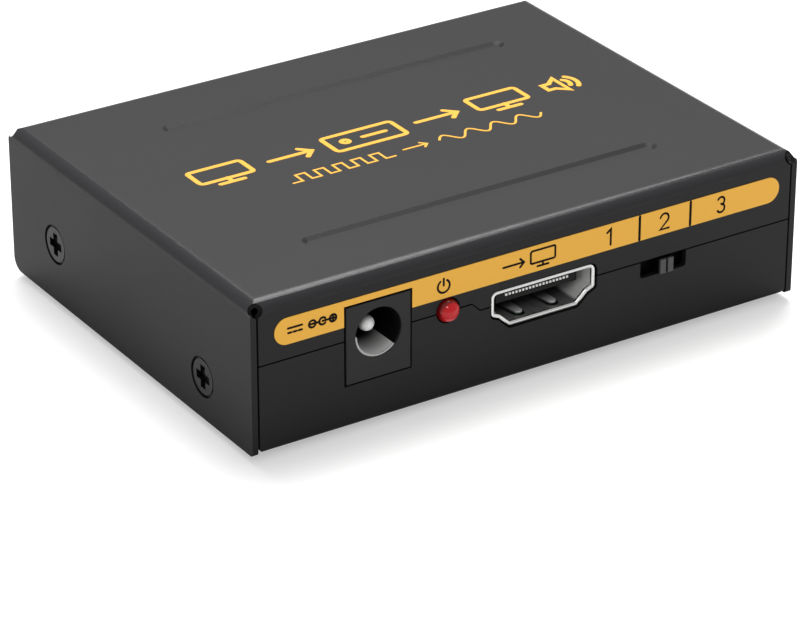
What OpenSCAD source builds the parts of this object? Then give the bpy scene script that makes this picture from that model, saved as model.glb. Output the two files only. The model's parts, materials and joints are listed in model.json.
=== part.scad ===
// Audio extractor box: a folded sheet-metal case in two shells round one
// circuit board with a video input, a video output, an optical output,
// two phono outputs, a power jack and a three-way slide switch.
// The input side faces -Y, the output side +Y, and the feet stand on Z = 0.

/* [Case] */
// Width of the case along X
case_w = 80; // [78:0.5:90]
// Depth of the case along Y, without the sockets that stand proud
case_d = 60; // [58:0.5:70]
// Height from the optical socket's top to the top of the case
headroom = 3.35; // [2.8:0.05:7]
// Thickness of the sheet that both shells are folded from
sheet = 0.8; // [0.7:0.05:0.9]
// Inner radius of the bends along the top edges
top_bend_in_r = 0.95; // [0.7:0.05:1.2]
// Inner radius of the bends along the bottom edges of the tray
tray_bend_in_r = 0.2; // [0.1:0.05:0.25]
// Gap between a side plate and the ends of the lips beside it
corner_gap = 0.25; // [0.15:0.05:0.35]
// Gap of the seam between the upper and the lower lips
seam_gap = 0.2; // [0.1:0.05:0.3]
// Radius of the round relief at each top corner
relief_r = 0.9; // [0.7:0.05:0.9]
// Radius of the rear bottom corners of the side plates
side_corner_r = 1.8; // [1:0.1:2.5]
// Radius of the front bottom corners of the side plates
side_front_corner_r = 0.5; // [0.3:0.1:1.5]
// Height of the tray's side flanges, which the side screws pass through
flange_h = 12; // [11.5:0.25:13]

/* [Seam] */
// Height of the front seam on the power jack's side, over the board
front_seam_rise = 6.1; // [5.9:0.05:6.3]
// Gap between the seam and the switch's knob under it
seam_knob_gap = 0.3; // [0.15:0.05:0.4]
// Height of the rear seam on the optical and phono side, over the board
rear_seam_rise = 6.35; // [6.1:0.05:6.5]
// Height of the rear seam on the video output's side, over the board
rear_seam_drop = 3.65; // [3.5:0.05:3.8]
// Width of the slanted step in the front seam
front_step_w = 1.2; // [0.8:0.1:1.6]
// Width of the slanted step in the rear seam
rear_step_w = 2.6; // [2:0.1:2.8]

/* [Top grooves] */
// Distance of the grooves' ends from the side faces
groove_end_inset = 14; // [8:0.5:20]
// Width of each pressed groove
groove_w = 2.2; // [1.6:0.1:2.6]
// Depth of each pressed groove
groove_depth = 0.35; // [0.2:0.05:0.4]
// Width of each groove's sloped side
groove_slope_w = 0.6; // [0.3:0.05:0.7]
// Distance of the front groove's middle from the front face
groove_front_inset = 11.1; // [9:0.1:14]
// Distance of the rear groove's middle from the rear face
groove_rear_inset = 11.8; // [9:0.1:14]
// How far the rear groove's middle lies towards +X
groove_rear_shift = 2; // [0:0.1:3]

/* [Feet] */
// Height of the rubber feet
foot_h = 1; // [0.8:0.1:2]
// Diameter of the rubber feet
foot_d = 8; // [6:0.5:9]
// Distance of each foot's middle from the case's side faces
foot_inset = 7; // [6:0.5:9]

/* [Side screws] */
// Diameter of the screw's thread
side_screw_d = 3; // [2.5:0.1:3]
// Diameter of the flat screw head
side_head_d = 4.6; // [4.2:0.1:4.8]
// Outer diameter of the ring-shaped groove round each head
side_ring_d = 5.3; // [5.1:0.1:5.6]
// Depth of the screw heads' faces under the case's side faces
side_head_depth = 0.1; // [0.05:0.05:0.2]
// Depth of the ring-shaped groove round each head
side_ring_depth = 0.4; // [0.3:0.05:0.5]
// Length of the screw under its outer face
side_screw_l = 4.2; // [4:0.1:4.6]
// Height of three of the side screws over the case's underside
side_screw_z = 5.6; // [5.4:0.1:5.8]
// Height of the rear screw on the -X side
odd_screw_z = 8; // [7.5:0.1:8.2]
// Distance of the side screws from the front and rear faces
side_screw_inset = 11.6; // [10:0.1:13]

/* [Board] */
// Height of the board's upper face over the case's underside
board_top = 5.7; // [5.65:0.05:5.75]
// Thickness of the board
board_t = 1.6; // [1.2:0.1:1.8]
// Gap between the board's edge and the tray's walls
board_gap = 0.5; // [0.4:0.05:0.6]
// Distance of the board's screws from its side edges
board_screw_side_inset = 3.45; // [3.3:0.05:3.55]
// Gap along Y between a clinch nut and the standoff next to it
standoff_nut_gap = 1.35; // [0.6:0.05:3]
// Diameter of the standoffs
standoff_d = 4.5; // [4:0.1:4.6]
// Diameter of the board's screws
board_screw_d = 2.5; // [2:0.1:2.6]

/* [Power jack] */
// Width of the jack's face
dc_w = 9; // [8.9:0.05:9.1]
// Height of the jack's face
dc_h = 10.2; // [10:0.05:10.3]
// Place of the jack's bore along X, as a share of the case's width
dc_x_share = -0.2806; // [-0.285:0.0005:-0.275]
// Gap between the jack's face and the board
dc_lift = 0.25; // [0.2:0.05:0.4]
// How far the face's top edge lies over the bore's middle
dc_top = 4.25; // [4.1:0.05:4.4]
// Diameter of the bore
dc_bore_d = 6.5; // [6.2:0.1:6.6]
// Depth of the bore behind the jack's face
dc_bore_depth = 9.5; // [9:0.1:10]
// Diameter of the centre pin
dc_pin_d = 2; // [1.6:0.1:2.1]
// Gap round the jack's face
dc_gap = 0.27; // [0.15:0.01:0.3]
// How far the face stands proud of the case
dc_proud = 0.1; // [0.05:0.05:0.4]
// How far the pin's tip lies behind the case's face
dc_pin_recess = 1.7; // [1:0.1:2.5]
// Length of the jack behind the case's face
dc_l = 13.5; // [13:0.1:14]

/* [Video sockets] */
// Width of the metal shell
video_w = 15.2; // [15:0.05:15.3]
// Height of the metal shell
video_h = 5; // [4.9:0.05:5.1]
// Width of the shell's narrow bottom
video_bottom_w = 10; // [9.7:0.05:10.1]
// Height of the shell's vertical side wall
video_side_h = 3.1; // [3:0.05:3.2]
// Wall of the shell
video_wall = 0.3; // [0.25:0.05:0.35]
// Length of the shell
video_l = 11.2; // [11:0.1:11.6]
// How far the shell's mouth lies behind the case's face
video_recess = 0.2; // [0.1:0.05:0.3]
// Place of the video input along X, as a share of the case's width
video_in_x_share = 0.0194; // [0.015:0.0005:0.023]
// Gap between the video input's shell and the board
video_in_lift = 1.6; // [1.4:0.05:1.7]
// Place of the video output along X, as a share of the case's width
video_out_x_share = 0.2963; // [0.294:0.0005:0.299]
// Gap between the video output's shell and the board
video_out_lift = 0.42; // [0.4:0.02:0.6]
// Pitch of the contacts
contact_pitch = 0.5; // [0.49:0.01:0.51]
// Number of contacts in a socket
contact_count = 19; // [13:2:19]

/* [Lamps] */
// Diameter of the domed lamps
led_d = 3.1; // [2.9:0.05:3.1]
// How far the dome stands proud of the case
led_proud = 1.25; // [0.8:0.05:1.4]
// Place of the power lamp along X, as a share of the case's width
power_led_x_share = -0.1563; // [-0.158:0.0005:-0.155]
// How far the status lamp lies off the middle between its neighbours
status_led_shift = -0.2; // [-0.3:0.05:0]
// Height of the lamps' axes over the board
led_rise = 6.25; // [6.1:0.05:6.3]

/* [Mode switch] */
// Place of the switch along X, as a share of the case's width
switch_x_share = 0.2475; // [0.246:0.0005:0.249]
// Height of the knob's middle over the board
switch_rise = 3.7; // [3.65:0.05:3.75]
// Width of the knob
knob_w = 1.95; // [1.8:0.05:2]
// Height of the knob
knob_h = 1.9; // [1.8:0.05:1.95]
// How far the knob stands proud of the case
knob_proud = 0.4; // [0.2:0.05:0.8]
// Travel between two neighbouring positions
knob_step = 2; // [1.8:0.1:2]
// Gap between the slot's left end and the knob at its left stop
slot_left_gap = 0.85; // [0.2:0.05:1]
// Gap between the slot's right end and the knob at its right stop
slot_right_gap = 0.2; // [0.15:0.05:1]
// Gap between the slot's lower edge and the knob
slot_low_gap = 0.07; // [0.05:0.01:0.15]

/* [Optical output] */
// Width of the socket's bezel
optical_w = 9.15; // [9:0.05:9.3]
// Height of the socket's bezel
optical_h = 9.5; // [9.4:0.05:9.6]
// Place of the socket along X, as a share of the case's width
optical_x_share = 0.0569; // [0.055:0.0005:0.059]
// Gap between the bezel and the board
optical_lift = 1.45; // [1.3:0.05:1.6]
// Width of the keyed opening
key_w = 5.95; // [5.8:0.05:6]
// Wall of the bezel over the keyed opening
key_top_wall = 0.5; // [0.4:0.05:0.7]
// Wall of the bezel under the keyed opening
key_low_wall = 0.8; // [0.6:0.05:1]
// Wall by which the body behind the panel is wider than the bezel
optical_body_wall = 0.15; // [0.1:0.05:0.25]
// How far the bezel stands proud of the case
optical_proud = 0.3; // [0.1:0.05:0.4]

/* [Phono outputs] */
// Outer diameter of the plated barrels
phono_d = 8.3; // [8:0.05:8.3]
// Diameter of the coloured insulators
phono_insulator_d = 5.7; // [5.4:0.1:5.8]
// Diameter of the centre bores
phono_bore_d = 3.3; // [3.2:0.05:3.4]
// How far the barrels stand proud of the case
phono_proud = 4.6; // [3.5:0.1:6]
// Place of the white output along X, as a share of the case's width
phono_white_x_share = -0.1169; // [-0.12:0.0005:-0.113]
// Place of the red output along X, as a share of the case's width
phono_red_x_share = -0.2819; // [-0.284:0.0005:-0.278]
// Height of the barrels' axis over the board
phono_rise = 6.6; // [6.5:0.05:6.7]

/* [Printed bands] */
// Thickness of the printed film
band_t = 0.08; // [0.05:0.01:0.1]
// Mean distance of the front band's ends from the side faces
front_band_inset = 3; // [2.5:0.1:5]
// Height of the front band
front_band_h = 3.5; // [3.3:0.05:3.6]
// Distance of the front band's middle from the top of the case
front_band_drop = 4.5; // [4.45:0.05:4.55]
// How far the front band's middle lies towards +X
front_band_shift = 0.2; // [-0.5:0.1:0.5]
// Mean distance of the rear band's ends from the side faces
rear_band_inset = 7.8; // [5:0.1:10]
// Height of the rear band
rear_band_h = 4.2; // [3.8:0.1:4.2]
// Distance of the rear band's middle from the underside of the case
rear_band_rise = 3.1; // [3.05:0.05:3.15]
// How far the rear band's middle lies towards +X
rear_band_shift = -0.5; // [-1:0.1:0.5]

/* [Hidden] */

$fn = 64;

// Overrun of every cut past the face that it opens
over = 0.5;
// Clearance of pieces that are held fast in one another
seat_gap = 0.02;
// Running clearance round a pin
run_gap = 0.05;
// Clearance of sockets in the case's openings
panel_gap = 0.3;
// Clearance of leads in the board's holes
lead_gap = 0.15;

board_bottom = board_top - board_t;

// Heights of the sockets' middles and of the seams over the case's underside
dc_z = board_top + dc_lift + dc_h - dc_top;
video_in_z = board_top + video_in_lift + video_h / 2;
video_out_z = board_top + video_out_lift + video_h / 2;
led_z = board_top + led_rise;
switch_z = board_top + switch_rise;
optical_z = board_top + optical_lift + optical_h / 2;
phono_z = board_top + phono_rise;
case_h = optical_z + optical_h / 2 + headroom;
front_seam_high = board_top + front_seam_rise;
front_seam_low = switch_z + knob_h / 2 + seam_knob_gap;
rear_seam_high = board_top + rear_seam_rise;
rear_seam_low = board_top + rear_seam_drop;

// Places of the sockets along X
dc_x = dc_x_share * case_w;
power_led_x = power_led_x_share * case_w;
video_in_x = video_in_x_share * case_w;
switch_x = switch_x_share * case_w;
video_out_x = video_out_x_share * case_w;
optical_x = optical_x_share * case_w;
optical_body_w = optical_w + 2 * optical_body_wall;
status_led_x = (optical_x + optical_body_w / 2 + video_out_x - video_w / 2) / 2 + status_led_shift;
phono_white_x = phono_white_x_share * case_w;
phono_red_x = phono_red_x_share * case_w;

front_y = -case_d / 2;
rear_y = case_d / 2;
front_reach = max(led_proud, knob_proud, dc_proud);
rear_reach = max(phono_proud, led_proud, optical_proud);
case_y = (front_reach - rear_reach) / 2;
side_x = case_w / 2;
lip_half_w = side_x - sheet - corner_gap;
board_half_w = lip_half_w - sheet - board_gap;
board_half_d = case_d / 2 - sheet - board_gap;
top_bend_r = top_bend_in_r + sheet;
tray_bend_r = tray_bend_in_r + sheet;

// Places the whole case so that the origin is under the middle of its box
module in_case() {
  translate([0, case_y, foot_h]) children();
}

// Frame of a front socket: X and Z as seen from the front, Y runs into the case
module on_front(x, z) {
  translate([x, front_y, z]) children();
}

// Frame of a rear socket: X runs towards -X of the case, Y into the case
module on_rear(x, z) {
  translate([x, rear_y, z]) rotate([0, 0, 180]) children();
}

// Extrudes a shape drawn in X and Z along Y, from y0 to y1
module along_y(y0, y1) {
  translate([0, y1, 0]) rotate([90, 0, 0]) linear_extrude(y1 - y0) children();
}

// Cylinder along Y from y0 to y1
module rod_y(r, y0, y1) {
  translate([0, y0, 0]) rotate([-90, 0, 0]) cylinder(r = r, h = y1 - y0);
}

// Box between two corners
module block(low, high) {
  translate(low) cube(high - low);
}

function unit(v) = v / norm(v);

// Arc that rounds the corner b of the path a, b, c
function corner_arc(a, b, c, r, n) =
  let (
    u = unit(a - b),
    v = unit(c - b),
    half = acos(u * v) / 2,
    reach = r / tan(half),
    centre = b + unit(u + v) * r / sin(half),
    s = b + u * reach - centre,
    e = b + v * reach - centre,
    turn = 180 - 2 * half
  )
  [for (i = [0:n]) centre + (s * sin(turn * (1 - i / n)) + e * sin(turn * i / n)) / sin(turn)];

// Outline whose corners are rounded, each with its own radius
function rounded(corners, radii, n = 5) =
  let (m = len(corners))
  [
    for (i = [0:m - 1])
    each corner_arc(corners[(i + m - 1) % m], corners[i], corners[(i + 1) % m], radii[i], n)
  ];

// Flat stadium of the given length and width, centred
module stadium(l, w) {
  square([l - w, w], center = true);
  for (s = [-1, 1]) translate([s * (l - w) / 2, 0]) circle(d = w);
}

// Upright outline from z = 0 with two round upper corners, centred on X
module arch(w, h, r) {
  translate([-w / 2, 0]) square([w, h - r]);
  translate([-w / 2 + r, 0]) square([w - 2 * r, h]);
  for (s = [-1, 1]) translate([s * (w / 2 - r), h - r]) circle(r);
}

// Folded box with round upper edges, its walls drawn in by inset
module folded(w, d, h, r, inset) {
  intersection() {
    along_y(-d / 2 + inset, d / 2 - inset) arch(w - 2 * inset, h - inset, r - inset);
    rotate([0, 0, 90]) along_y(-w / 2 + inset, w / 2 - inset)
      arch(d - 2 * inset, h - inset, r - inset);
  }
}

// Seam lines, from -X to +X, as seen in X and Z
front_step_x = video_in_x - video_w / 2 - 2 * front_step_w;
front_seam = [
  [-case_w, front_seam_high],
  [front_step_x - front_step_w / 2, front_seam_high],
  [front_step_x + front_step_w / 2, front_seam_low],
  [case_w, front_seam_low]
];
rear_step_x = video_out_x - video_w / 2 - rear_step_w / 2;
rear_seam = [
  [-case_w, rear_seam_high],
  [rear_step_x - rear_step_w / 2, rear_seam_high],
  [rear_step_x + rear_step_w / 2, rear_seam_low],
  [case_w, rear_seam_low]
];

// Everything below a seam line, moved by dz
module under_seam(seam, dz) {
  translate([0, dz]) polygon(concat(seam, [[case_w, -case_h], [-case_w, -case_h]]));
}

// Everything above a seam line, moved by dz
module over_seam(seam, dz) {
  translate([0, dz]) polygon(concat(seam, [[case_w, 2 * case_h], [-case_w, 2 * case_h]]));
}

// Corners of a path moved outwards by g; the path runs clockwise
function grown(path, g) =
  let (m = len(path))
  [
    for (i = [0:m - 1])
    let (
      a = unit(path[i] - path[(i + m - 1) % m]),
      b = unit(path[(i + 1) % m] - path[i]),
      n = [-a.y, a.x],
      o = [-b.y, b.x]
    )
    path[i] + g * (n + o) / (1 + n * o)
  ];

// Outline of a video socket, grown outwards by grow, centred on its height
video_step_w = 1.1;
video_step_h = 0.48;
video_corner_r = 0.85;
video_shoulder_r = 0.45;
video_waist_r = 0.6;
video_foot_r = 0.6;
module video_outline(grow) {
  top = video_h / 2;
  half = video_w / 2;
  low = top - video_side_h;
  right = [[half, top], [half, low], [half - video_step_w, low - video_step_h], [video_bottom_w / 2, -top]];
  left = [for (i = [3:-1:0]) [-right[i].x, right[i].y]];
  side_r = [video_corner_r + grow, video_shoulder_r + grow, video_waist_r - grow, video_foot_r + grow];
  polygon(rounded(grown(concat(right, left), grow), concat(side_r, [for (i = [3:-1:0]) side_r[i]])));
}

// Openings of both front lips, grown by the panel gap
slot_corner_r = 0.4;
module front_openings() {
  on_front(0, 0) along_y(-over, sheet + over) {
    translate([dc_x - dc_w / 2 - dc_gap, dc_z + dc_top - dc_h - dc_gap])
      square([dc_w + 2 * dc_gap, dc_h + 2 * dc_gap]);
    translate([power_led_x, led_z]) circle(d = led_d + panel_gap);
    translate([video_in_x, video_in_z]) video_outline(panel_gap);
  }
}

// Slot of the switch, open at the seam
module switch_opening() {
  low = switch_z - knob_h / 2 - slot_low_gap;
  high = front_seam_low + over;
  left = -knob_w / 2 - knob_step - slot_left_gap;
  right = knob_w / 2 + knob_step + slot_right_gap;
  r = slot_corner_r;
  on_front(switch_x, 0) along_y(-over, sheet + over)
    polygon(rounded([[left, low], [right, low], [right, high], [left, high]], [r, r, r, r]));
}

// Openings of both rear lips
module rear_openings() {
  translate([0, rear_y, 0]) along_y(-sheet - over, over) {
    translate([video_out_x, video_out_z]) video_outline(panel_gap);
    translate([status_led_x, led_z]) circle(d = led_d + panel_gap);
    translate([optical_x - optical_w / 2 - panel_gap, optical_z - optical_h / 2 - panel_gap])
      square([optical_w + 2 * panel_gap, optical_h + 2 * panel_gap]);
    for (x = [phono_white_x, phono_red_x])
      translate([x, phono_z]) circle(d = phono_d + 2 * panel_gap);
  }
}

// Places of the side screws: side, y and z
side_screw_y = case_d / 2 - side_screw_inset;
screw_places = [
  [-1, -side_screw_y, side_screw_z], [-1, side_screw_y, odd_screw_z],
  [1, -side_screw_y, side_screw_z], [1, side_screw_y, side_screw_z]
];

// Frame of a side screw: Z points out of the case's side face
module at_side_screws() {
  for (p = screw_places)
    translate([p.x * side_x, p.y, p.z]) rotate([0, 90 * p.x, 0]) children();
}

// Places of the two grooves
groove_l = case_w - 2 * groove_end_inset;
groove_places = [
  [0, front_y + groove_front_inset],
  [groove_rear_shift, rear_y - groove_rear_inset]
];

// Pressed groove with sloped sides and round ends, its rim at z = 0
module groove(l, w) {
  low_w = w - 2 * groove_slope_w;
  translate([(w - l) / 2, 0, 0]) rotate([90, 0, 90]) linear_extrude(l - w)
    polygon([[-w / 2, 0], [w / 2, 0], [low_w / 2, -groove_depth], [-low_w / 2, -groove_depth]]);
  for (s = [-1, 1])
    translate([s * (l - w) / 2, 0, -groove_depth]) cylinder(d1 = low_w, d2 = w, h = groove_depth);
  linear_extrude(over) stadium(l, w);
}

// Top shell: roof, full side plates and the upper lips
groove_wall_share = 0.7;
relief_drop_share = 1.1;
module top_cover() {
  color([0.24, 0.24, 0.25]) in_case() difference() {
    union() {
      difference() {
        folded(case_w, case_d, case_h, top_bend_r, 0);
        translate([0, 0, -over]) folded(case_w, case_d, case_h + over, top_bend_r, sheet);
      }
      for (g = groove_places)
        translate([g.x, g.y, case_h - sheet - groove_depth])
          linear_extrude(groove_depth + sheet / 2)
            stadium(groove_l + 2 * groove_wall_share * sheet, groove_w + 2 * groove_wall_share * sheet);
    }
    for (g = groove_places) translate([g.x, g.y, case_h]) groove(groove_l, groove_w);
    // The lips end at the seam
    lip_region() {
      translate([0, front_y, 0]) along_y(-over, sheet + over) under_seam(front_seam, seam_gap / 2);
      translate([0, rear_y, 0]) along_y(-sheet - over, over) under_seam(rear_seam, seam_gap / 2);
    }
    // Open corners between the lips and the side plates, ending in round reliefs
    for (sx = [-1, 1], sy = [-1, 1]) in_corner(sx, sy) {
      block([lip_half_w, case_d / 2 - sheet - over, -over],
            [lip_half_w + corner_gap, case_d / 2 + over, case_h - sheet]);
      translate([lip_half_w + corner_gap / 2, case_d / 2 - sheet / 2, case_h - relief_drop_share * relief_r])
        sphere(relief_r);
      bottom_corner(sy < 0 ? side_front_corner_r : side_corner_r);
    }
    front_openings();
    rear_openings();
    at_side_screws() {
      translate([0, 0, -side_ring_depth]) cylinder(d = side_ring_d, h = side_ring_depth + over);
      translate([0, 0, -sheet - over]) cylinder(d = side_screw_d + 2 * run_gap, h = sheet + over);
      translate([0, 0, -side_head_depth]) side_cone(seat_gap);
    }
  }
}

// Cone under a side screw's head, from z = 0 downwards, grown by gap
module side_cone(gap) {
  cone_h = (side_head_d - side_screw_d) / 2;
  translate([0, 0, -cone_h]) cylinder(d1 = side_screw_d + 2 * gap, d2 = side_head_d + 2 * gap, h = cone_h);
}

// Mirrors its children, drawn at +X and +Y, into one corner
module in_corner(sx, sy) {
  mirror([sx < 0 ? 1 : 0, 0, 0]) mirror([0, sy < 0 ? 1 : 0, 0]) children();
}

// Space between the side plates, where the lips are
module lip_region() {
  intersection() {
    block([-side_x + sheet, -case_d, -over], [side_x - sheet, case_d, case_h - top_bend_r]);
    union() children();
  }
}

// Cuts the round lower corner of a side plate
module bottom_corner(r) {
  translate([side_x - sheet - over, case_d / 2, 0]) rotate([90, 0, 90])
    linear_extrude(sheet + 2 * over) difference() {
      translate([-r, -over]) square([r + over, r + over]);
      translate([-r, r]) circle(r);
    }
}

// Bottom shell: floor, lower lips and side flanges
tray_corner_slot = 0.6;
module bottom_tray() {
  tray_h = max(front_seam_high, rear_seam_high, flange_h) + sheet + over;
  color([0.22, 0.22, 0.23]) in_case() difference() {
    translate([0, 0, tray_h]) mirror([0, 0, 1]) difference() {
      folded(2 * lip_half_w, case_d, tray_h, tray_bend_r, 0);
      translate([0, 0, -over]) folded(2 * lip_half_w, case_d, tray_h + over, tray_bend_r, sheet);
    }
    translate([0, front_y, 0]) along_y(-over, sheet + corner_gap) over_seam(front_seam, -seam_gap / 2);
    translate([0, rear_y, 0]) along_y(-sheet - corner_gap, over) over_seam(rear_seam, -seam_gap / 2);
    // The side flanges are lower than the lips and stand clear of them
    block([-side_x, front_y + sheet + corner_gap, flange_h], [side_x, rear_y - sheet - corner_gap, case_h]);
    for (sx = [-1, 1], sy = [-1, 1]) in_corner(sx, sy)
      block([lip_half_w - sheet - over, case_d / 2 - sheet - tray_corner_slot, tray_bend_r],
            [lip_half_w + over, case_d / 2 - sheet, case_h]);
    front_openings();
    switch_opening();
    rear_openings();
    at_side_screws() translate([0, 0, -2 * sheet - corner_gap - over])
      cylinder(d = side_screw_d + 2 * run_gap, h = 2 * sheet + 2 * over);
  }
}

// Threaded clinch nuts pressed on the inside of the tray's flanges
nut_d = 5.6;
nut_h = 1.8;
module clinch_nuts() {
  inner = -2 * sheet - corner_gap;
  color([0.72, 0.72, 0.7]) in_case() at_side_screws() difference() {
    translate([0, 0, inner - nut_h]) cylinder(d = nut_d, h = nut_h);
    translate([0, 0, inner - nut_h - over]) cylinder(d = side_screw_d + 2 * run_gap, h = nut_h + 2 * over);
  }
}

// Cross recess of a screw head, cut downwards from z = 0
module cross_recess(l, w, depth) {
  for (a = [0, 90]) rotate([0, 0, a]) translate([-l / 2, -w / 2, -depth]) cube([l, w, depth + over]);
}

// Black flat-head screws that hold the shells together
cross_l_share = 0.66;
cross_w_share = 0.24;
cross_depth_share = 0.14;
module side_screws() {
  color([0.08, 0.08, 0.08]) in_case() at_side_screws() translate([0, 0, -side_head_depth])
    difference() {
      union() {
        side_cone(0);
        translate([0, 0, -side_screw_l]) cylinder(d = side_screw_d, h = side_screw_l - side_head_depth);
      }
      cross_recess(cross_l_share * side_head_d, cross_w_share * side_head_d, cross_depth_share * side_head_d);
    }
}

// Stick-on rubber feet
foot_edge = 0.3;
module rubber_feet() {
  color([0.07, 0.07, 0.07])
    for (sx = [-1, 1], sy = [-1, 1])
      translate([sx * (side_x - foot_inset), case_y + sy * (case_d / 2 - foot_inset), 0]) {
        translate([0, 0, foot_edge]) cylinder(d = foot_d, h = foot_h - foot_edge);
        cylinder(d1 = foot_d - 2 * foot_edge, d2 = foot_d, h = foot_edge);
      }
}

// Gold film on the upper front lip, cut away round the power jack
divider_w = 0.2;
band_rim = 0.03;
front_band_z = case_h - front_band_drop;
divider_offsets = [-knob_w / 2 - 1.6 * knob_step, knob_w / 2 + 1.3 * knob_step];
module front_band() {
  color([0.85, 0.65, 0.27]) in_case() on_front(0, 0) along_y(-band_t, 0) difference() {
    translate([front_band_shift, front_band_z]) stadium(case_w - 2 * front_band_inset, front_band_h);
    translate([dc_x - dc_w / 2 - dc_gap - band_rim, dc_z + dc_top - dc_h])
      square([dc_w + 2 * dc_gap + 2 * band_rim, dc_h + dc_gap + band_rim]);
    for (x = divider_offsets)
      translate([switch_x + x - divider_w / 2, front_band_z - front_band_h])
        square([divider_w, 2 * front_band_h]);
  }
}

// Gold film on the lower rear lip
module rear_band() {
  color([0.85, 0.65, 0.27]) in_case() translate([0, rear_y, 0]) along_y(0, band_t)
    translate([rear_band_shift, rear_band_rise]) stadium(case_w - 2 * rear_band_inset, rear_band_h);
}

// Circuit board and what holds it

lead_out = 0.9;
pin_w = 0.5;
tab_t = 0.3;
board_corner_r = 1;
notch_gap = 0.5;
board_screw_x = board_half_w - board_screw_side_inset;
board_screw_y = side_screw_y - nut_d / 2 - standoff_nut_gap - standoff_d / 2;

module at_board_screws() {
  for (sx = [-1, 1], sy = [-1, 1]) translate([sx * board_screw_x, sy * board_screw_y, 0]) children();
}

// Hole through the board for a lead with the given half sizes, at the local place x and y
module lead_hole(x, y, half_x, half_y) {
  block([x - half_x - lead_gap, y - half_y - lead_gap, -case_h],
        [x + half_x + lead_gap, y + half_y + lead_gap, case_h]);
}

// Straight lead from the height top down through the board, in case heights
module lead(x, y, half_x, half_y, top) {
  block([x - half_x, y - half_y, board_bottom - lead_out], [x + half_x, y + half_y, top]);
}

module main_board() {
  outline = [
    [-board_half_w, -board_half_d], [-board_half_w, board_half_d],
    [board_half_w, board_half_d], [board_half_w, -board_half_d]
  ];
  r = board_corner_r;
  color([0.05, 0.3, 0.15]) in_case() difference() {
    translate([0, 0, board_bottom]) linear_extrude(board_t) polygon(rounded(outline, [r, r, r, r]));
    at_board_screws() translate([0, 0, -over]) cylinder(d = board_screw_d + 2 * lead_gap, h = case_h);
    // Room for the clinch nuts and the tips of the side screws
    for (p = screw_places)
      block([p.x * side_x - side_screw_l - notch_gap, p.y - nut_d / 2 - notch_gap, -over],
            [p.x * side_x + side_screw_l + notch_gap, p.y + nut_d / 2 + notch_gap, case_h]);
    on_front(dc_x, 0) dc_lead_places() lead_hole(0, 0, $half_x, $half_y);
    on_front(power_led_x, 0) led_lead_holes();
    on_rear(status_led_x, 0) led_lead_holes();
    on_front(video_in_x, 0) video_leg_holes();
    on_rear(video_out_x, 0) video_leg_holes();
    on_front(switch_x, 0) switch_lead_places() lead_hole(0, 0, $half_x, $half_y);
    on_rear(optical_x, 0) optical_lead_places() lead_hole(0, 0, $half_x, $half_y);
    for (x = [phono_white_x, phono_red_x])
      on_rear(x, 0) phono_lead_places() lead_hole(0, 0, $half_x, $half_y);
  }
}

module board_standoffs() {
  color([0.75, 0.75, 0.73]) in_case() at_board_screws() difference() {
    translate([0, 0, sheet]) cylinder(d = standoff_d, h = board_bottom - sheet);
    translate([0, 0, -over]) cylinder(d = board_screw_d + 2 * seat_gap, h = board_bottom + 2 * over);
  }
}

board_head_d_share = 1.75;
board_head_h_share = 0.55;
module board_screws() {
  head_d = board_head_d_share * board_screw_d;
  head_h = board_head_h_share * board_screw_d;
  color([0.7, 0.7, 0.7]) in_case() at_board_screws() difference() {
    union() {
      translate([0, 0, board_top]) cylinder(d1 = head_d, d2 = head_d - head_h / 2, h = head_h);
      translate([0, 0, sheet + lead_gap]) cylinder(d = board_screw_d, h = board_top - sheet - lead_gap);
    }
    translate([0, 0, board_top + head_h])
      cross_recess(cross_l_share * head_d, cross_w_share * head_d, head_h / 2);
  }
}

// Power jack, drawn in its frame with the bore's axis at x = 0

dc_floor = dc_top - dc_h;
dc_flange_l = 3.3;
dc_tab_w = 2;
dc_tab_t = 0.5;
dc_sleeve_tab_y = 7.2;
dc_side_tab_y = 6.4;
dc_liner_t = 0.25;
dc_liner_y = 0;
dc_liner_l = 8.4;
dc_liner_turn = 135;

// Places of the jack's three tabs, with their half sizes
module dc_lead_places() {
  places = [
    [0, dc_l + dc_tab_t / 2, dc_tab_w / 2, dc_tab_t / 2],
    [0, dc_sleeve_tab_y, dc_tab_w / 2, dc_liner_t / 2],
    [dc_w / 2 + tab_t / 2, dc_side_tab_y, tab_t / 2, dc_tab_w / 2]
  ];
  for (p = places) {
    $half_x = p[2];
    $half_y = p[3];
    translate([p[0], p[1], 0]) children();
  }
}

module dc_jack_housing() {
  color([0.12, 0.12, 0.12]) in_case() on_front(dc_x, dc_z) difference() {
    union() {
      block([-dc_w / 2, -dc_proud, dc_floor], [dc_w / 2, dc_flange_l, dc_top]);
      block([-dc_w / 2, sheet + dc_gap, board_top - dc_z], [dc_w / 2, dc_l, 0]);
      intersection() {
        rod_y(dc_w / 2, dc_flange_l - over, dc_l);
        block([-dc_w / 2, 0, 0], [dc_w / 2, dc_l, dc_top]);
      }
    }
    rod_y(dc_bore_d / 2, -dc_proud - over, dc_bore_depth);
    rod_y(dc_pin_d / 2 + seat_gap, dc_bore_depth - over, dc_l + over);
    block([-dc_tab_w / 2 - seat_gap, dc_sleeve_tab_y - dc_liner_t / 2 - seat_gap, -dc_top - dc_h],
          [dc_tab_w / 2 + seat_gap, dc_sleeve_tab_y + dc_liner_t / 2 + seat_gap, -dc_bore_d / 4]);
  }
}

module dc_jack_centre_pin() {
  r = dc_pin_d / 2;
  color([0.8, 0.8, 0.78]) in_case() {
    on_front(dc_x, dc_z) {
      rod_y(r, dc_pin_recess + r, dc_l + dc_tab_t / 2);
      translate([0, dc_pin_recess + r, 0]) sphere(r);
    }
    on_front(dc_x, 0) lead(0, dc_l + dc_tab_t / 2, dc_tab_w / 2, dc_tab_t / 2, dc_z + dc_tab_w / 2);
  }
}

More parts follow.
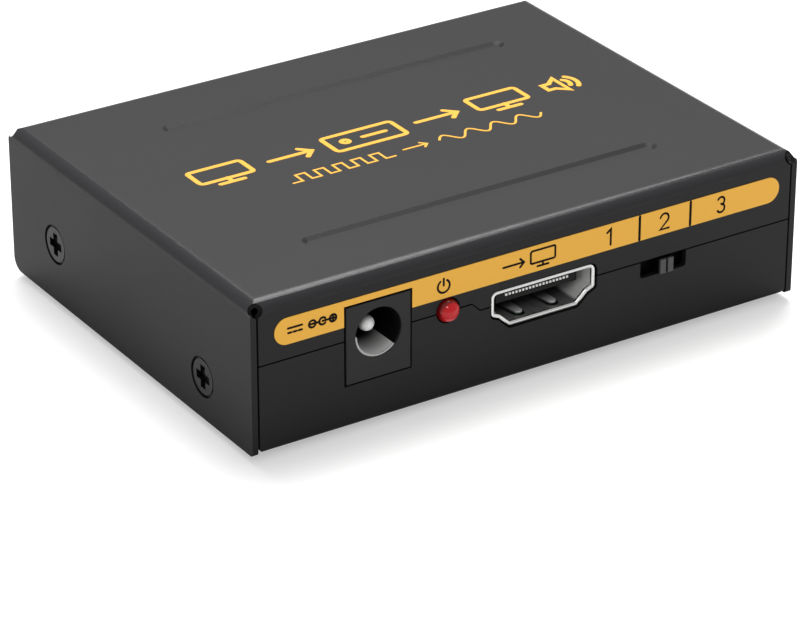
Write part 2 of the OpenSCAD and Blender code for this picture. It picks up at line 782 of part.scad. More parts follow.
module dc_jack_sleeve_contact() {
  outer_r = dc_bore_d / 2 - seat_gap;
  color([0.8, 0.8, 0.78]) in_case() {
    on_front(dc_x, dc_z) translate([0, dc_liner_y + dc_liner_l, 0]) rotate([90, 0, 0])
      rotate([0, 0, 180]) rotate_extrude(angle = dc_liner_turn)
        translate([outer_r - dc_liner_t, 0]) square([dc_liner_t, dc_liner_l]);
    on_front(dc_x, 0)
      lead(0, dc_sleeve_tab_y, dc_tab_w / 2, dc_liner_t / 2, dc_z - outer_r + dc_liner_t);
  }
}

module dc_jack_side_terminal() {
  color([0.8, 0.8, 0.78]) in_case() on_front(dc_x, 0) {
    lead(dc_w / 2 + tab_t / 2, dc_side_tab_y, tab_t / 2, dc_tab_w / 2, dc_z - dc_tab_w / 2);
    block([dc_w / 2, dc_side_tab_y - dc_tab_w, dc_z - dc_tab_w],
          [dc_w / 2 + tab_t, dc_side_tab_y + dc_tab_w, dc_z - dc_tab_w / 2]);
  }
}

// Domed lamps, drawn in their frame with the dome's axis at x = 0

led_flange_w = 0.3;
led_flange_t = 1;
led_back_y = 4;
led_lead_x = 1.27;
led_lead_run = 2.2;

module led_lens(z) {
  r = led_d / 2;
  translate([0, 0, z]) {
    translate([0, r - led_proud, 0]) sphere(r);
    rod_y(r, r - led_proud, led_back_y);
    // The flange is flat on its +X side
    intersection() {
      rod_y(r + led_flange_w, led_back_y - led_flange_t, led_back_y);
      block([-led_d, 0, -led_d], [r, led_back_y + over, led_d]);
    }
  }
}

module led_leads(z) {
  for (s = [-1, 1]) {
    block([s * led_lead_x - pin_w / 2, led_back_y, z - pin_w / 2],
          [s * led_lead_x + pin_w / 2, led_back_y + led_lead_run + pin_w / 2, z + pin_w / 2]);
    lead(s * led_lead_x, led_back_y + led_lead_run, pin_w / 2, pin_w / 2, z + pin_w / 2);
  }
}

module led_lead_holes() {
  for (s = [-1, 1]) lead_hole(s * led_lead_x, led_back_y + led_lead_run, pin_w / 2, pin_w / 2);
}

module power_led_lens() {
  color([0.75, 0.08, 0.12]) in_case() on_front(power_led_x, 0) led_lens(led_z);
}

module power_led_leads() {
  color([0.75, 0.75, 0.75]) in_case() on_front(power_led_x, 0) led_leads(led_z);
}

module status_led_lens() {
  color([0.08, 0.5, 0.12]) in_case() on_rear(status_led_x, 0) led_lens(led_z);
}

module status_led_leads() {
  color([0.75, 0.75, 0.75]) in_case() on_rear(status_led_x, 0) led_leads(led_z);
}

// Video sockets, drawn in their frame, centred on the shell

blade_w = 11.9;
blade_t = 1.3;
blade_rise = 0.7;
blade_y = 1.6;
video_plug_l = 8.6;
video_foot_w = 14;
video_foot_t = 1.4;
contact_w = 0.28;
contact_t = 0.15;
contact_row_rise = 0.25;
spring_x = 2.5;
spring_w = 1.1;
spring_root_w = 2;
spring_l = 4.6;
spring_y = 1.5;
spring_lift = 5;
window_gap = 0.35;
shell_seam_w = 0.1;
shell_seam_key_w = 0.7;
shell_seam_key_y = 0.7;
shell_seam_key_l = 0.8;
leg_w = 1.2;
leg_ys = [3.2, 9.2];
video_back = video_recess + video_l;

// Outline of a spring tongue, rooted at y = 0, tapered towards its round tip, grown by gap
module spring_outline(gap) {
  tip_r = spring_w / 2;
  translate([0, tip_r - spring_l]) circle(tip_r + gap);
  polygon([
    [-spring_root_w / 2 - gap, 0], [spring_root_w / 2 + gap, 0],
    [tip_r + gap, tip_r - spring_l], [-tip_r - gap, tip_r - spring_l]
  ]);
}

// Spring tongue of the shell's floor, rooted at its far end
module shell_spring(x) {
  translate([x, spring_y + spring_l, -video_h / 2]) rotate([-spring_lift, 0, 0]) {
    linear_extrude(video_wall) spring_outline(0);
    translate([-spring_root_w / 2, 0, 0]) cube([spring_root_w, video_wall, video_wall]);
  }
}

// Straight slit between two places in a plane
module slit(a, b) {
  n = unit([a.y - b.y, b.x - a.x]) * shell_seam_w / 2;
  e = unit(b - a) * shell_seam_w / 2;
  polygon([a - e + n, b + e + n, b + e - n, a - e - n]);
}

// Dovetailed seam where the edges of the shell's sheet meet, in X and Y
module shell_seam() {
  low = video_recess + shell_seam_key_y;
  high = low + shell_seam_key_l;
  flare = shell_seam_key_l / 4;
  path = [
    [0, 0], [0, low], [shell_seam_key_w, low - flare], [shell_seam_key_w, high + flare],
    [0, high], [0, video_back + over]
  ];
  for (i = [0:len(path) - 2]) slit(path[i], path[i + 1]);
}

module video_shell(z) {
  translate([0, 0, z]) {
    difference() {
      along_y(video_recess, video_back) difference() {
        video_outline(0);
        video_outline(-video_wall);
      }
      for (s = [-1, 1], side = [0, 1]) mirror([0, 0, side])
        translate([s * spring_x, spring_y + spring_l, -video_h]) linear_extrude(video_h / 2 + 2 * video_wall)
          spring_outline(window_gap);
      translate([0, 0, -video_h]) linear_extrude(video_h / 2 + 2 * video_wall) shell_seam();
    }
    for (s = [-1, 1], side = [0, 1]) mirror([0, 0, side]) shell_spring(s * spring_x);
  }
  top = z + video_h / 2 - video_side_h + 2 * leg_w;
  for (s = [-1, 1], y = leg_ys)
    lead(s * (video_w / 2 - video_wall / 2), y, video_wall / 2, leg_w / 2, top);
}

module video_leg_holes() {
  for (s = [-1, 1], y = leg_ys)
    lead_hole(s * (video_w / 2 - video_wall / 2), y, video_wall / 2, leg_w / 2);
}

// Side of the blade that a contact lies on: 1 over it, -1 under it
function contact_side(i) = i % 2 == 0 ? 1 : -1;
function contact_x(i) = (i - (contact_count - 1) / 2) * contact_pitch;

// One contact, grown by gap: a bar on its side of the blade, turned in behind the
// blade's front to a short tip, so that all tips show in one row
module contact_bar(i, gap) {
  s = contact_side(i);
  x0 = contact_x(i) - contact_w / 2 - gap;
  x1 = contact_x(i) + contact_w / 2 + gap;
  under = s * (blade_t / 2 - contact_t - gap);
  face = s * blade_t / 2;
  tip_low = contact_row_rise - contact_w / 2 - gap;
  tip_high = contact_row_rise + contact_w / 2 + gap;
  bend_y = blade_y + 2 * contact_t;
  translate([0, 0, blade_rise]) {
    block([x0, bend_y - gap, min(under, face)], [x1, video_back + video_foot_t, max(under, face)]);
    block([x0, bend_y - gap, min(under, tip_low)], [x1, bend_y + contact_t + gap, max(under, tip_high)]);
    block([x0, blade_y, tip_low], [x1, bend_y + contact_t, tip_high]);
  }
}

module video_insulator(z) {
  back = video_back + video_foot_t;
  translate([0, 0, z]) difference() {
    union() {
      block([-blade_w / 2, blade_y + contact_t, blade_rise - blade_t / 2],
            [blade_w / 2, back, blade_rise + blade_t / 2]);
      along_y(video_plug_l, video_back) video_outline(-video_wall - seat_gap);
      block([-video_foot_w / 2, video_back + seat_gap, board_top - z], [video_foot_w / 2, back, video_h / 2]);
    }
    for (i = [0:contact_count - 1]) contact_bar(i, seat_gap);
  }
}

module video_contacts(z) {
  back = video_back + video_foot_t;
  for (i = [0:contact_count - 1]) {
    translate([0, 0, z]) contact_bar(i, 0);
    s = contact_side(i);
    edge = z + blade_rise + s * blade_t / 2;
    top = max(edge, edge - s * contact_t);
    x0 = contact_x(i) - contact_w / 2;
    x1 = contact_x(i) + contact_w / 2;
    block([x0, back, board_top], [x1, back + contact_t, top]);
    block([x0, back, board_top], [x1, back + leg_w, board_top + contact_t]);
  }
}

module video_in_shell() {
  color([0.8, 0.8, 0.8]) in_case() on_front(video_in_x, 0) video_shell(video_in_z);
}

module video_in_insulator() {
  color([0.1, 0.1, 0.1]) in_case() on_front(video_in_x, 0) video_insulator(video_in_z);
}

module video_in_contacts() {
  color([0.85, 0.7, 0.35]) in_case() on_front(video_in_x, 0) video_contacts(video_in_z);
}

module video_out_shell() {
  color([0.8, 0.8, 0.8]) in_case() on_rear(video_out_x, 0) video_shell(video_out_z);
}

module video_out_insulator() {
  color([0.1, 0.1, 0.1]) in_case() on_rear(video_out_x, 0) video_insulator(video_out_z);
}

module video_out_contacts() {
  color([0.85, 0.7, 0.35]) in_case() on_rear(video_out_x, 0) video_contacts(video_out_z);
}

// Mode switch, drawn in its frame with the knob's middle position at x = 0

switch_w = 12.6;
switch_front = 1;
switch_l = 4.6;
switch_head = 2.6;
slider_w = 7;
slider_l = 1.3;
slide_gap = 0.1;
rib_gap_w = 0.35;
switch_pin_pitch = 2.5;
switch_pin_count = 4;
switch_back = switch_front + switch_l;
switch_pin_y = switch_back - switch_l / 4;
switch_split = switch_front + tab_t + 2 * slide_gap + slider_l;
switch_leg_x = switch_w / 2 - tab_t / 2;
function switch_pin_x(i) = (i - (switch_pin_count - 1) / 2) * switch_pin_pitch;

module switch_lead_places() {
  pins = [for (i = [0:switch_pin_count - 1]) [switch_pin_x(i), switch_pin_y, pin_w / 2, pin_w / 4]];
  legs = [for (s = [-1, 1]) [s * switch_leg_x, switch_front + switch_l / 2, tab_t / 2, leg_w / 2]];
  for (p = concat(pins, legs)) {
    $half_x = p[2];
    $half_y = p[3];
    translate([p[0], p[1], 0]) children();
  }
}

// Inner half width and inner top and bottom of the metal frame
switch_in_x = switch_w / 2 - tab_t;
switch_in_top = switch_head - tab_t;
switch_in_low = board_top - switch_z;

module switch_frame() {
  color([0.7, 0.7, 0.7]) in_case() on_front(switch_x, 0) {
    translate([0, 0, switch_z]) difference() {
      block([-switch_w / 2, switch_front, switch_in_low], [switch_w / 2, switch_back, switch_head]);
      block([-switch_in_x, switch_front + tab_t, switch_in_low - over],
            [switch_in_x, switch_back + over, switch_in_top]);
      block([-knob_w / 2 - knob_step - slide_gap, 0, -knob_h / 2 - slide_gap],
            [knob_w / 2 + knob_step + slide_gap, switch_front + tab_t + over, knob_h / 2 + slide_gap]);
    }
    for (s = [-1, 1])
      lead(s * switch_leg_x, switch_front + switch_l / 2, tab_t / 2, leg_w / 2, board_top + leg_w);
  }
}

module switch_base() {
  color([0.3, 0.2, 0.12]) in_case() on_front(switch_x, switch_z) difference() {
    block([-switch_in_x + seat_gap, switch_split, switch_in_low],
          [switch_in_x - seat_gap, switch_back, switch_in_top - seat_gap]);
    for (i = [0:switch_pin_count - 1])
      translate([switch_pin_x(i), switch_pin_y, 0])
        block([-pin_w / 2 - seat_gap, -pin_w / 4 - seat_gap, -case_h],
              [pin_w / 2 + seat_gap, pin_w / 4 + seat_gap, 0]);
  }
}

module switch_terminals() {
  color([0.8, 0.8, 0.78]) in_case() on_front(switch_x, 0)
    for (i = [0:switch_pin_count - 1])
      lead(switch_pin_x(i), switch_pin_y, pin_w / 2, pin_w / 4, switch_z - seat_gap);
}

module switch_knob() {
  color([0.12, 0.12, 0.12]) in_case() on_front(switch_x, switch_z) difference() {
    union() {
      block([-slider_w / 2, switch_front + tab_t + slide_gap, switch_in_low + slide_gap],
            [slider_w / 2, switch_front + tab_t + slide_gap + slider_l, switch_in_top - slide_gap]);
      block([-knob_w / 2, -knob_proud, -knob_h / 2], [knob_w / 2, switch_split - 2 * slide_gap, knob_h / 2]);
    }
    block([-rib_gap_w / 2, -knob_proud - over, -knob_h], [rib_gap_w / 2, 0, knob_h]);
  }
}

// Optical output, drawn in its frame, centred on the bezel

optical_l = 13;
optical_bezel_l = 2.6;
key_back_wall = 0.25;
swing_gap = 0.1;
key_cut_w = 0.7;
key_cut_h = 1;
ear_notch_r = 1.02;
ear_notch_rise = -0.83;
ear_notch_depth = 0.75;
edge_cut_depth = 0.4;
edge_cut_low = -3.45;
edge_cut_high = -0.7;
hinge_y = 1.45;
hinge_drop = 0.75;
hinge_pin_d = 0.7;
hinge_barrel_d = 1.2;
shutter_front = 0.75;
shutter_t = 1.3;
shutter_pocket_w = 2.92;
shutter_pocket_depth = 0.9;
shutter_pocket_top_share = 0.8;
shutter_gap = 0.17;
emitter_w = 5;
emitter_h = 5.4;
emitter_window_d = 1.4;
optical_pin_pitch = 1.27;
key_top = optical_h / 2 - key_top_wall;
key_bottom = -optical_h / 2 + key_low_wall;
hinge_z = key_top - hinge_drop;
key_depth = hinge_y + hinge_z - key_bottom + swing_gap;
emitter_y = key_depth + key_back_wall;
optical_pin_y = emitter_y + (optical_l - emitter_y) / 2;
spring_gap_w = 1.9;

// Keyed outline with its lower corners cut, drawn in by gap
module key_outline(gap) {
  half = key_w / 2 - gap;
  polygon([
    [-half, key_top - gap], [half, key_top - gap],
    [half, key_bottom + key_cut_h], [half - key_cut_w, key_bottom + gap],
    [-half + key_cut_w, key_bottom + gap], [-half, key_bottom + key_cut_h]
  ]);
}

module optical_lead_places() {
  for (i = [-1, 0, 1]) {
    $half_x = pin_w / 2;
    $half_y = pin_w / 4;
    translate([i * optical_pin_pitch, optical_pin_y, 0]) children();
  }
}

module optical_housing() {
  side = optical_w / 2;
  low = board_top - optical_z;
  high = optical_h / 2;
  color([0.1, 0.1, 0.1]) in_case() on_rear(optical_x, optical_z) difference() {
    union() {
      block([-side, -optical_proud, -high], [side, optical_bezel_l, high]);
      block([-optical_body_w / 2, sheet + panel_gap, low], [optical_body_w / 2, optical_l, high]);
    }
    along_y(-optical_proud - over, key_depth) key_outline(0);
    rod_y(emitter_window_d / 2, key_depth - over, optical_l);
    block([-emitter_w / 2 - seat_gap, emitter_y, low - over],
          [emitter_w / 2 + seat_gap, optical_l + over, emitter_h / 2 + seat_gap]);
    translate([-case_w / 2, hinge_y, hinge_z]) rotate([0, 90, 0])
      cylinder(d = hinge_pin_d + 2 * seat_gap, h = case_w);
    for (s = [-1, 1]) {
      translate([s * (side - ear_notch_depth + ear_notch_r), 0, ear_notch_rise])
        rod_y(ear_notch_r, -optical_proud - over, sheet);
      block([min(s * side, s * (side - edge_cut_depth)), -optical_proud - over, edge_cut_low],
            [max(s * side, s * (side - edge_cut_depth)), sheet, edge_cut_high]);
    }
  }
}

module optical_shutter() {
  pocket_top = key_bottom + shutter_pocket_top_share * (hinge_z - key_bottom);
  color([0.1, 0.1, 0.1]) in_case() on_rear(optical_x, optical_z) difference() {
    union() {
      intersection() {
        along_y(shutter_front, shutter_front + shutter_t) key_outline(shutter_gap);
        block([-key_w, 0, -optical_h], [key_w, case_d, hinge_z]);
      }
      translate([-key_w / 2 + shutter_gap, hinge_y, hinge_z]) rotate([0, 90, 0])
        cylinder(d = hinge_barrel_d, h = key_w - 2 * shutter_gap);
    }
    block([-shutter_pocket_w / 2, 0, -optical_h],
          [shutter_pocket_w / 2, shutter_front + shutter_pocket_depth, pocket_top]);
    // Room for the hinge pin, and for the spring in the middle of the hinge
    translate([-key_w, hinge_y, hinge_z]) rotate([0, 90, 0])
      cylinder(d = hinge_pin_d + 2 * run_gap, h = 2 * key_w);
    block([-spring_gap_w / 2, hinge_y - hinge_barrel_d, hinge_z - hinge_barrel_d],
          [spring_gap_w / 2, hinge_y + hinge_barrel_d, hinge_z + hinge_barrel_d]);
  }
}

module optical_hinge_pin() {
  l = optical_body_w - 2 * tab_t;
  color([0.8, 0.8, 0.78]) in_case() on_rear(optical_x, optical_z)
    translate([-l / 2, hinge_y, hinge_z]) rotate([0, 90, 0]) cylinder(d = hinge_pin_d, h = l);
}

// Torsion spring round the hinge pin: one wire along a helix, then straight to the roof
spring_wire_d = 0.16;
spring_turns = 5;
spring_steps = 14;
spring_sides = 6;
spring_r = hinge_pin_d / 2 + run_gap + spring_wire_d / 2;
spring_pitch = 1.5 * spring_wire_d;

// Point of the wire's middle and the ring of its section, the wire running along X
function helix_point(t) = [t / 360 * spring_pitch, spring_r * sin(t), spring_r * cos(t)];
function helix_ring(t) =
  let (c = helix_point(t), out = [0, sin(t), cos(t)])
  [for (k = [0:spring_sides - 1])
    let (a = 360 * k / spring_sides)
    c + spring_wire_d / 2 * (cos(a) * out + sin(a) * [1, 0, 0])];

module optical_spring() {
  n = spring_turns * spring_steps;
  m = spring_sides;
  points = [for (i = [0:n]) each helix_ring(i * 360 / spring_steps)];
  faces = concat(
    [[for (k = [0:m - 1]) k]],
    [for (i = [0:n - 1], k = [0:m - 1]) [i * m + k, (i + 1) * m + k, (i + 1) * m + (k + 1) % m]],
    [for (i = [0:n - 1], k = [0:m - 1]) [i * m + k, (i + 1) * m + (k + 1) % m, i * m + (k + 1) % m]],
    [[for (k = [m - 1:-1:0]) n * m + k]]
  );
  color([0.75, 0.75, 0.75]) in_case() on_rear(optical_x, optical_z)
    translate([-spring_turns * spring_pitch / 2, hinge_y, hinge_z]) polyhedron(points, faces, convexity = 8);
}

module optical_emitter() {
  color([0.2, 0.2, 0.22]) in_case() on_rear(optical_x, optical_z) {
    block([-emitter_w / 2, emitter_y + seat_gap, -emitter_h / 2], [emitter_w / 2, optical_l, emitter_h / 2]);
    rod_y(emitter_window_d / 2 - seat_gap, key_depth, emitter_y + over);
  }
}

module optical_terminals() {
  color([0.8, 0.8, 0.78]) in_case() on_rear(optical_x, 0)
    for (i = [-1, 0, 1])
      lead(i * optical_pin_pitch, optical_pin_y, pin_w / 2, pin_w / 4, optical_z - emitter_h / 2);
}

// Phono outputs, drawn in the frame of one barrel with its axis at x = 0

phono_neck_gap = 0.2;
phono_back_wall = 1.35;
phono_seat = 3;
phono_block_l = 11.5;
phono_block_margin = 5;
phono_block_head = 5;
phono_edge_share = 0.46;
phono_neck_r = phono_d / 2 - phono_neck_gap;
phono_insulator_recess = 0.3;
phono_contact_y = 1;
phono_contact_l = 7.5;
phono_contact_wall = 0.4;
phono_tab_w = 2.4;
phono_tail_w = 1.2;

module phono_lead_places() {
  places = [
    [0, phono_seat + tab_t / 2, phono_tab_w / 2, tab_t / 2],
    [0, phono_block_l + tab_t / 2, phono_tail_w / 2, tab_t / 2]
  ];
  for (p = places) {
    $half_x = p[2];
    $half_y = p[3];
    translate([p[0], p[1], 0]) children();
  }
}

// Spaces in the block for one output
module phono_spaces() {
  rod_y(phono_neck_r + seat_gap, -over, phono_seat + tab_t);
  rod_y(phono_insulator_d / 2 + seat_gap, -over, phono_contact_y + phono_contact_l + phono_back_wall);
  block([-phono_tab_w / 2 - seat_gap, phono_seat - seat_gap, -case_h],
        [phono_tab_w / 2 + seat_gap, phono_seat + tab_t + seat_gap, 0]);
  block([-phono_tail_w / 2 - seat_gap, phono_block_l / 2, -tab_t / 2 - seat_gap],
        [phono_tail_w / 2 + seat_gap, phono_block_l + over, tab_t / 2 + seat_gap]);
}

module phono_block() {
  middle = (phono_white_x + phono_red_x) / 2;
  half = (phono_white_x - phono_red_x) / 2 + phono_block_margin;
  color([0.1, 0.1, 0.1]) in_case() difference() {
    on_rear(middle, phono_z)
      block([-half, sheet + panel_gap, board_top - phono_z], [half, phono_block_l, phono_block_head]);
    for (x = [phono_white_x, phono_red_x]) on_rear(x, phono_z) phono_spaces();
  }
}

// Plated barrel with a round front edge and a thinner neck inside the case
module phono_barrel() {
  outer = phono_d / 2;
  inner = phono_insulator_d / 2 + seat_gap;
  l = phono_proud + phono_seat;
  r = phono_edge_share * (outer - inner);
  translate([0, phono_seat, 0]) rotate([90, 0, 0]) rotate_extrude() {
    translate([inner, 0]) square([phono_neck_r - inner, phono_seat]);
    translate([inner, phono_seat]) square([outer - inner, l - r - phono_seat]);
    translate([inner + r, phono_seat]) square([outer - inner - 2 * r, l - phono_seat]);
    translate([inner + r, l - r]) circle(r);
    translate([outer - r, l - r]) circle(r);
  }
}

module phono_insulator() {
  r = phono_bore_d / 2;
  end = phono_contact_y + phono_contact_l;
  difference() {
    rod_y(phono_insulator_d / 2, phono_insulator_recess - phono_proud, end + phono_back_wall);
    rod_y(r, -phono_proud - over, end);
    rod_y(r + phono_contact_wall + seat_gap, phono_contact_y, end);
    block([-phono_tail_w / 2 - seat_gap, end - over, -tab_t / 2 - seat_gap],
          [phono_tail_w / 2 + seat_gap, phono_block_l, tab_t / 2 + seat_gap]);
  }
}

module phono_white_barrel() {
  color([0.78, 0.78, 0.78]) in_case() on_rear(phono_white_x, phono_z) phono_barrel();
}

module phono_white_insulator() {
  color([0.92, 0.92, 0.92]) in_case() on_rear(phono_white_x, phono_z) phono_insulator();
}

module phono_red_barrel() {
  color([0.78, 0.78, 0.78]) in_case() on_rear(phono_red_x, phono_z) phono_barrel();
}

module phono_red_insulator() {
  color([0.9, 0.2, 0.08]) in_case() on_rear(phono_red_x, phono_z) phono_insulator();
}

module phono_centre_contacts() {
  end = phono_contact_y + phono_contact_l;
  r = phono_bore_d / 2;
  color([0.8, 0.8, 0.78]) in_case() for (x = [phono_white_x, phono_red_x]) {
    on_rear(x, phono_z) {
      difference() {
        rod_y(r + phono_contact_wall, phono_contact_y + seat_gap, end);
        rod_y(r, phono_contact_y - over, end - phono_contact_wall);
      }
      block([-phono_tail_w / 2, end - phono_contact_wall / 2, -tab_t / 2],
            [phono_tail_w / 2, phono_block_l + tab_t, tab_t / 2]);
    }
    on_rear(x, 0) lead(0, phono_block_l + tab_t / 2, phono_tail_w / 2, tab_t / 2, phono_z + tab_t / 2);
  }
}

module phono_ground_tabs() {
  color([0.8, 0.8, 0.78]) in_case() for (x = [phono_white_x, phono_red_x]) {
    on_rear(x, 0) difference() {
      union() {
        translate([0, 0, phono_z]) rod_y(phono_neck_r, phono_seat, phono_seat + tab_t);
        lead(0, phono_seat + tab_t / 2, phono_tab_w / 2, tab_t / 2, phono_z);
      }
      translate([0, 0, phono_z]) rod_y(phono_insulator_d / 2 + seat_gap, 0, phono_block_l);
    }
  }
}

// Chips and small parts on the board, at shares of the board's half width and half depth

video_chip_size = [12, 12, 1.3];
video_chip_shares = [0.33, 0];
audio_chip_size = [6.6, 4.4, 1.1];
audio_chip_shares = [-0.36, -0.02];
memory_chip_size = [4.9, 3.9, 1.5];
memory_chip_shares = [-0.08, 0.05];
regulator_size = [6.5, 3.5, 1.7];
regulator_shares = [-0.78, -0.08];
chip_lift = 0.1;
chip_foot_l = 0.6;
chip_reach = 1;
chip_lead_t = 0.15;
chip_lead_w = 0.3;
fine_pitch = 0.8;
wide_pitch = 1.27;
tab_pitch = 2.3;
tab_lead_w = 0.7;
tab_w = 3.2;
dimple_d = 0.8;
mould_draft = 0.15;

module on_board(shares) {
  translate([shares.x * board_half_w, shares.y * board_half_d, board_top]) children();
}

module chip_body(size) {
  half = [size.x / 2, size.y / 2, 0];
  difference() {
    union() {
      block([-half.x, -half.y, chip_lift], [half.x, half.y, size.z / 2]);
      block([-half.x + mould_draft, -half.y + mould_draft, size.z / 4],
            [half.x - mould_draft, half.y - mould_draft, size.z]);
    }
    translate([-half.x + dimple_d, -half.y + dimple_d, size.z - chip_lead_t])
      cylinder(d = dimple_d, h = over);
  }
}

// Row of bent leads along one side of a chip, whose edge lies at the distance edge
module lead_row(count, pitch, edge, w, h) {
  for (i = [0:count - 1]) translate([(i - (count - 1) / 2) * pitch, edge, 0]) {
    block([-w / 2, chip_reach - chip_foot_l, 0], [w / 2, chip_reach, chip_lead_t]);
    block([-w / 2, chip_reach - chip_foot_l, 0], [w / 2, chip_reach - chip_foot_l + chip_lead_t, h]);
    block([-w / 2, 0, h - chip_lead_t], [w / 2, chip_reach - chip_foot_l + chip_lead_t, h]);
  }
}

module video_chip() {
  color([0.1, 0.1, 0.1]) in_case() on_board(video_chip_shares) chip_body(video_chip_size);
}

module audio_chip() {
  color([0.1, 0.1, 0.1]) in_case() on_board(audio_chip_shares) chip_body(audio_chip_size);
}

module memory_chip() {
  color([0.1, 0.1, 0.1]) in_case() on_board(memory_chip_shares) chip_body(memory_chip_size);
}

module regulator_chip() {
  color([0.1, 0.1, 0.1]) in_case() on_board(regulator_shares) chip_body(regulator_size);
}

video_side_leads = 13;
audio_side_leads = 8;
memory_side_leads = 4;
module chip_leads() {
  color([0.75, 0.75, 0.75]) in_case() {
    on_board(video_chip_shares) for (a = [0, 90, 180, 270]) rotate([0, 0, a])
      lead_row(video_side_leads, fine_pitch, video_chip_size.y / 2, chip_lead_w, video_chip_size.z / 2);
    on_board(audio_chip_shares) for (a = [0, 180]) rotate([0, 0, a])
      lead_row(audio_side_leads, fine_pitch, audio_chip_size.y / 2, chip_lead_w, audio_chip_size.z / 2);
    on_board(memory_chip_shares) for (a = [0, 180]) rotate([0, 0, a])
      lead_row(memory_side_leads, wide_pitch, memory_chip_size.y / 2, chip_lead_w, memory_chip_size.z / 2);
    on_board(regulator_shares) {
      lead_row(1, tab_pitch, regulator_size.y / 2, tab_w, regulator_size.z / 2);
      rotate([0, 0, 180]) lead_row(3, tab_pitch, regulator_size.y / 2, tab_lead_w, regulator_size.z / 2);
    }
  }
}

can_base_h = 0.8;
can_base_gap = 0.15;
can_edge = 0.3;
can_sizes = [[6.3, 7.2], [6.3, 7.2], [5, 5.4], [5, 5.4], [5, 5.4]];
can_shares = [[-0.5, 0.26], [-0.3, -0.4], [-0.55, -0.22], [-0.28, 0.27], [-0.06, 0.38]];

module capacitor_cans() {
  color([0.75, 0.75, 0.75]) in_case() for (i = [0:len(can_shares) - 1]) on_board(can_shares[i]) {
    d = can_sizes[i].x;
    h = can_sizes[i].y;
    translate([0, 0, can_base_h]) cylinder(d = d, h = h - can_base_h - can_edge);
    translate([0, 0, h - can_edge]) cylinder(d1 = d, d2 = d - 2 * can_edge, h = can_edge);
  }
}

module capacitor_bases() {
  color([0.12, 0.12, 0.12]) in_case() for (i = [0:len(can_shares) - 1]) on_board(can_shares[i]) {
    half = can_sizes[i].x / 2 + can_base_gap;
    cut = half / 3;
    linear_extrude(can_base_h) polygon([
      [-half, -half], [-half, half - cut], [-half + cut, half],
      [half - cut, half], [half, half - cut], [half, -half]
    ]);
  }
}

inductor_size = [6.6, 6.6, 3];
inductor_shares = [-0.72, 0.22];
module power_inductor() {
  color([0.25, 0.25, 0.25]) in_case() on_board(inductor_shares) {
    s = inductor_size;
    block([-s.x / 2, -s.y / 2, 0], [s.x / 2, s.y / 2, can_base_h]);
    cylinder(d = s.x - 2 * can_edge, h = s.z);
  }
}

crystal_size = [10.4, 4.2, 3.4];
crystal_rim = 0.4;
crystal_shares = [0.62, -0.42];
module crystal() {
  color([0.8, 0.8, 0.8]) in_case() on_board(crystal_shares) rotate([0, 0, 90]) {
    s = crystal_size;
    linear_extrude(s.z) stadium(s.x, s.y);
    linear_extrude(crystal_rim) stadium(s.x + 2 * crystal_rim, s.y + 2 * crystal_rim);
  }
}

// Small parts with two end caps each
small_l = 1.6;
small_w = 0.8;
small_cap = 0.32;
capacitor_h = 0.8;
resistor_h = 0.45;
capacitor_shares = [
  [0.06, 0.24], [0.06, 0.12], [0.06, -0.02], [0.06, -0.14], [0.62, 0.24], [0.62, 0.12], [0.62, -0.02],
  [0.62, -0.14], [-0.18, -0.12], [-0.5, -0.02], [-0.12, 0.22], [-0.92, -0.14], [-0.7, -0.34], [-0.44, -0.36],
  [0.86, 0.1], [0.86, 0.18]
];
resistor_shares = [
  [0.06, 0.18], [0.06, 0.05], [0.06, -0.08], [0.62, 0.18], [0.62, 0.05], [0.62, -0.08], [-0.22, 0.08],
  [-0.22, 0.14], [-0.18, -0.2], [-0.1, -0.26], [0.86, -0.02], [0.86, 0.04], [-0.9, 0.02], [-0.72, -0.24]
];

module small_body(h) {
  block([-small_l / 2 + small_cap, -small_w / 2 + seat_gap, 0],
        [small_l / 2 - small_cap, small_w / 2 - seat_gap, h - seat_gap]);
}

module ceramic_capacitors() {
  color([0.65, 0.5, 0.35]) in_case() for (p = capacitor_shares) on_board(p) small_body(capacitor_h);
}

module chip_resistors() {
  color([0.1, 0.1, 0.1]) in_case() for (p = resistor_shares) on_board(p) small_body(resistor_h);
}

module small_part_caps() {
  places = concat([for (p = capacitor_shares) [p, capacitor_h]], [for (p = resistor_shares) [p, resistor_h]]);
  color([0.8, 0.8, 0.8]) in_case() for (p = places, s = [-1, 1]) on_board(p[0])
    block([min(s * small_l / 2, s * (small_l / 2 - small_cap)), -small_w / 2, 0],
          [max(s * small_l / 2, s * (small_l / 2 - small_cap)), small_w / 2, p[1]]);
}

// Arrays that guard the video lines, behind each video socket
array_size = [2.5, 1, 0.55];
array_count = 4;
array_pitch = 3.2;
array_gap = 1.2;
array_y = video_back + video_foot_t + leg_w + array_gap;
module surge_arrays() {
  s = array_size;
  color([0.12, 0.12, 0.12]) in_case() for (i = [0:array_count - 1]) {
    x = (i - (array_count - 1) / 2) * array_pitch;
    on_front(video_in_x, board_top) block([x - s.x / 2, array_y, 0], [x + s.x / 2, array_y + s.y, s.z]);
    on_rear(video_out_x, board_top) block([x - s.x / 2, array_y, 0], [x + s.x / 2, array_y + s.y, s.z]);
  }
}

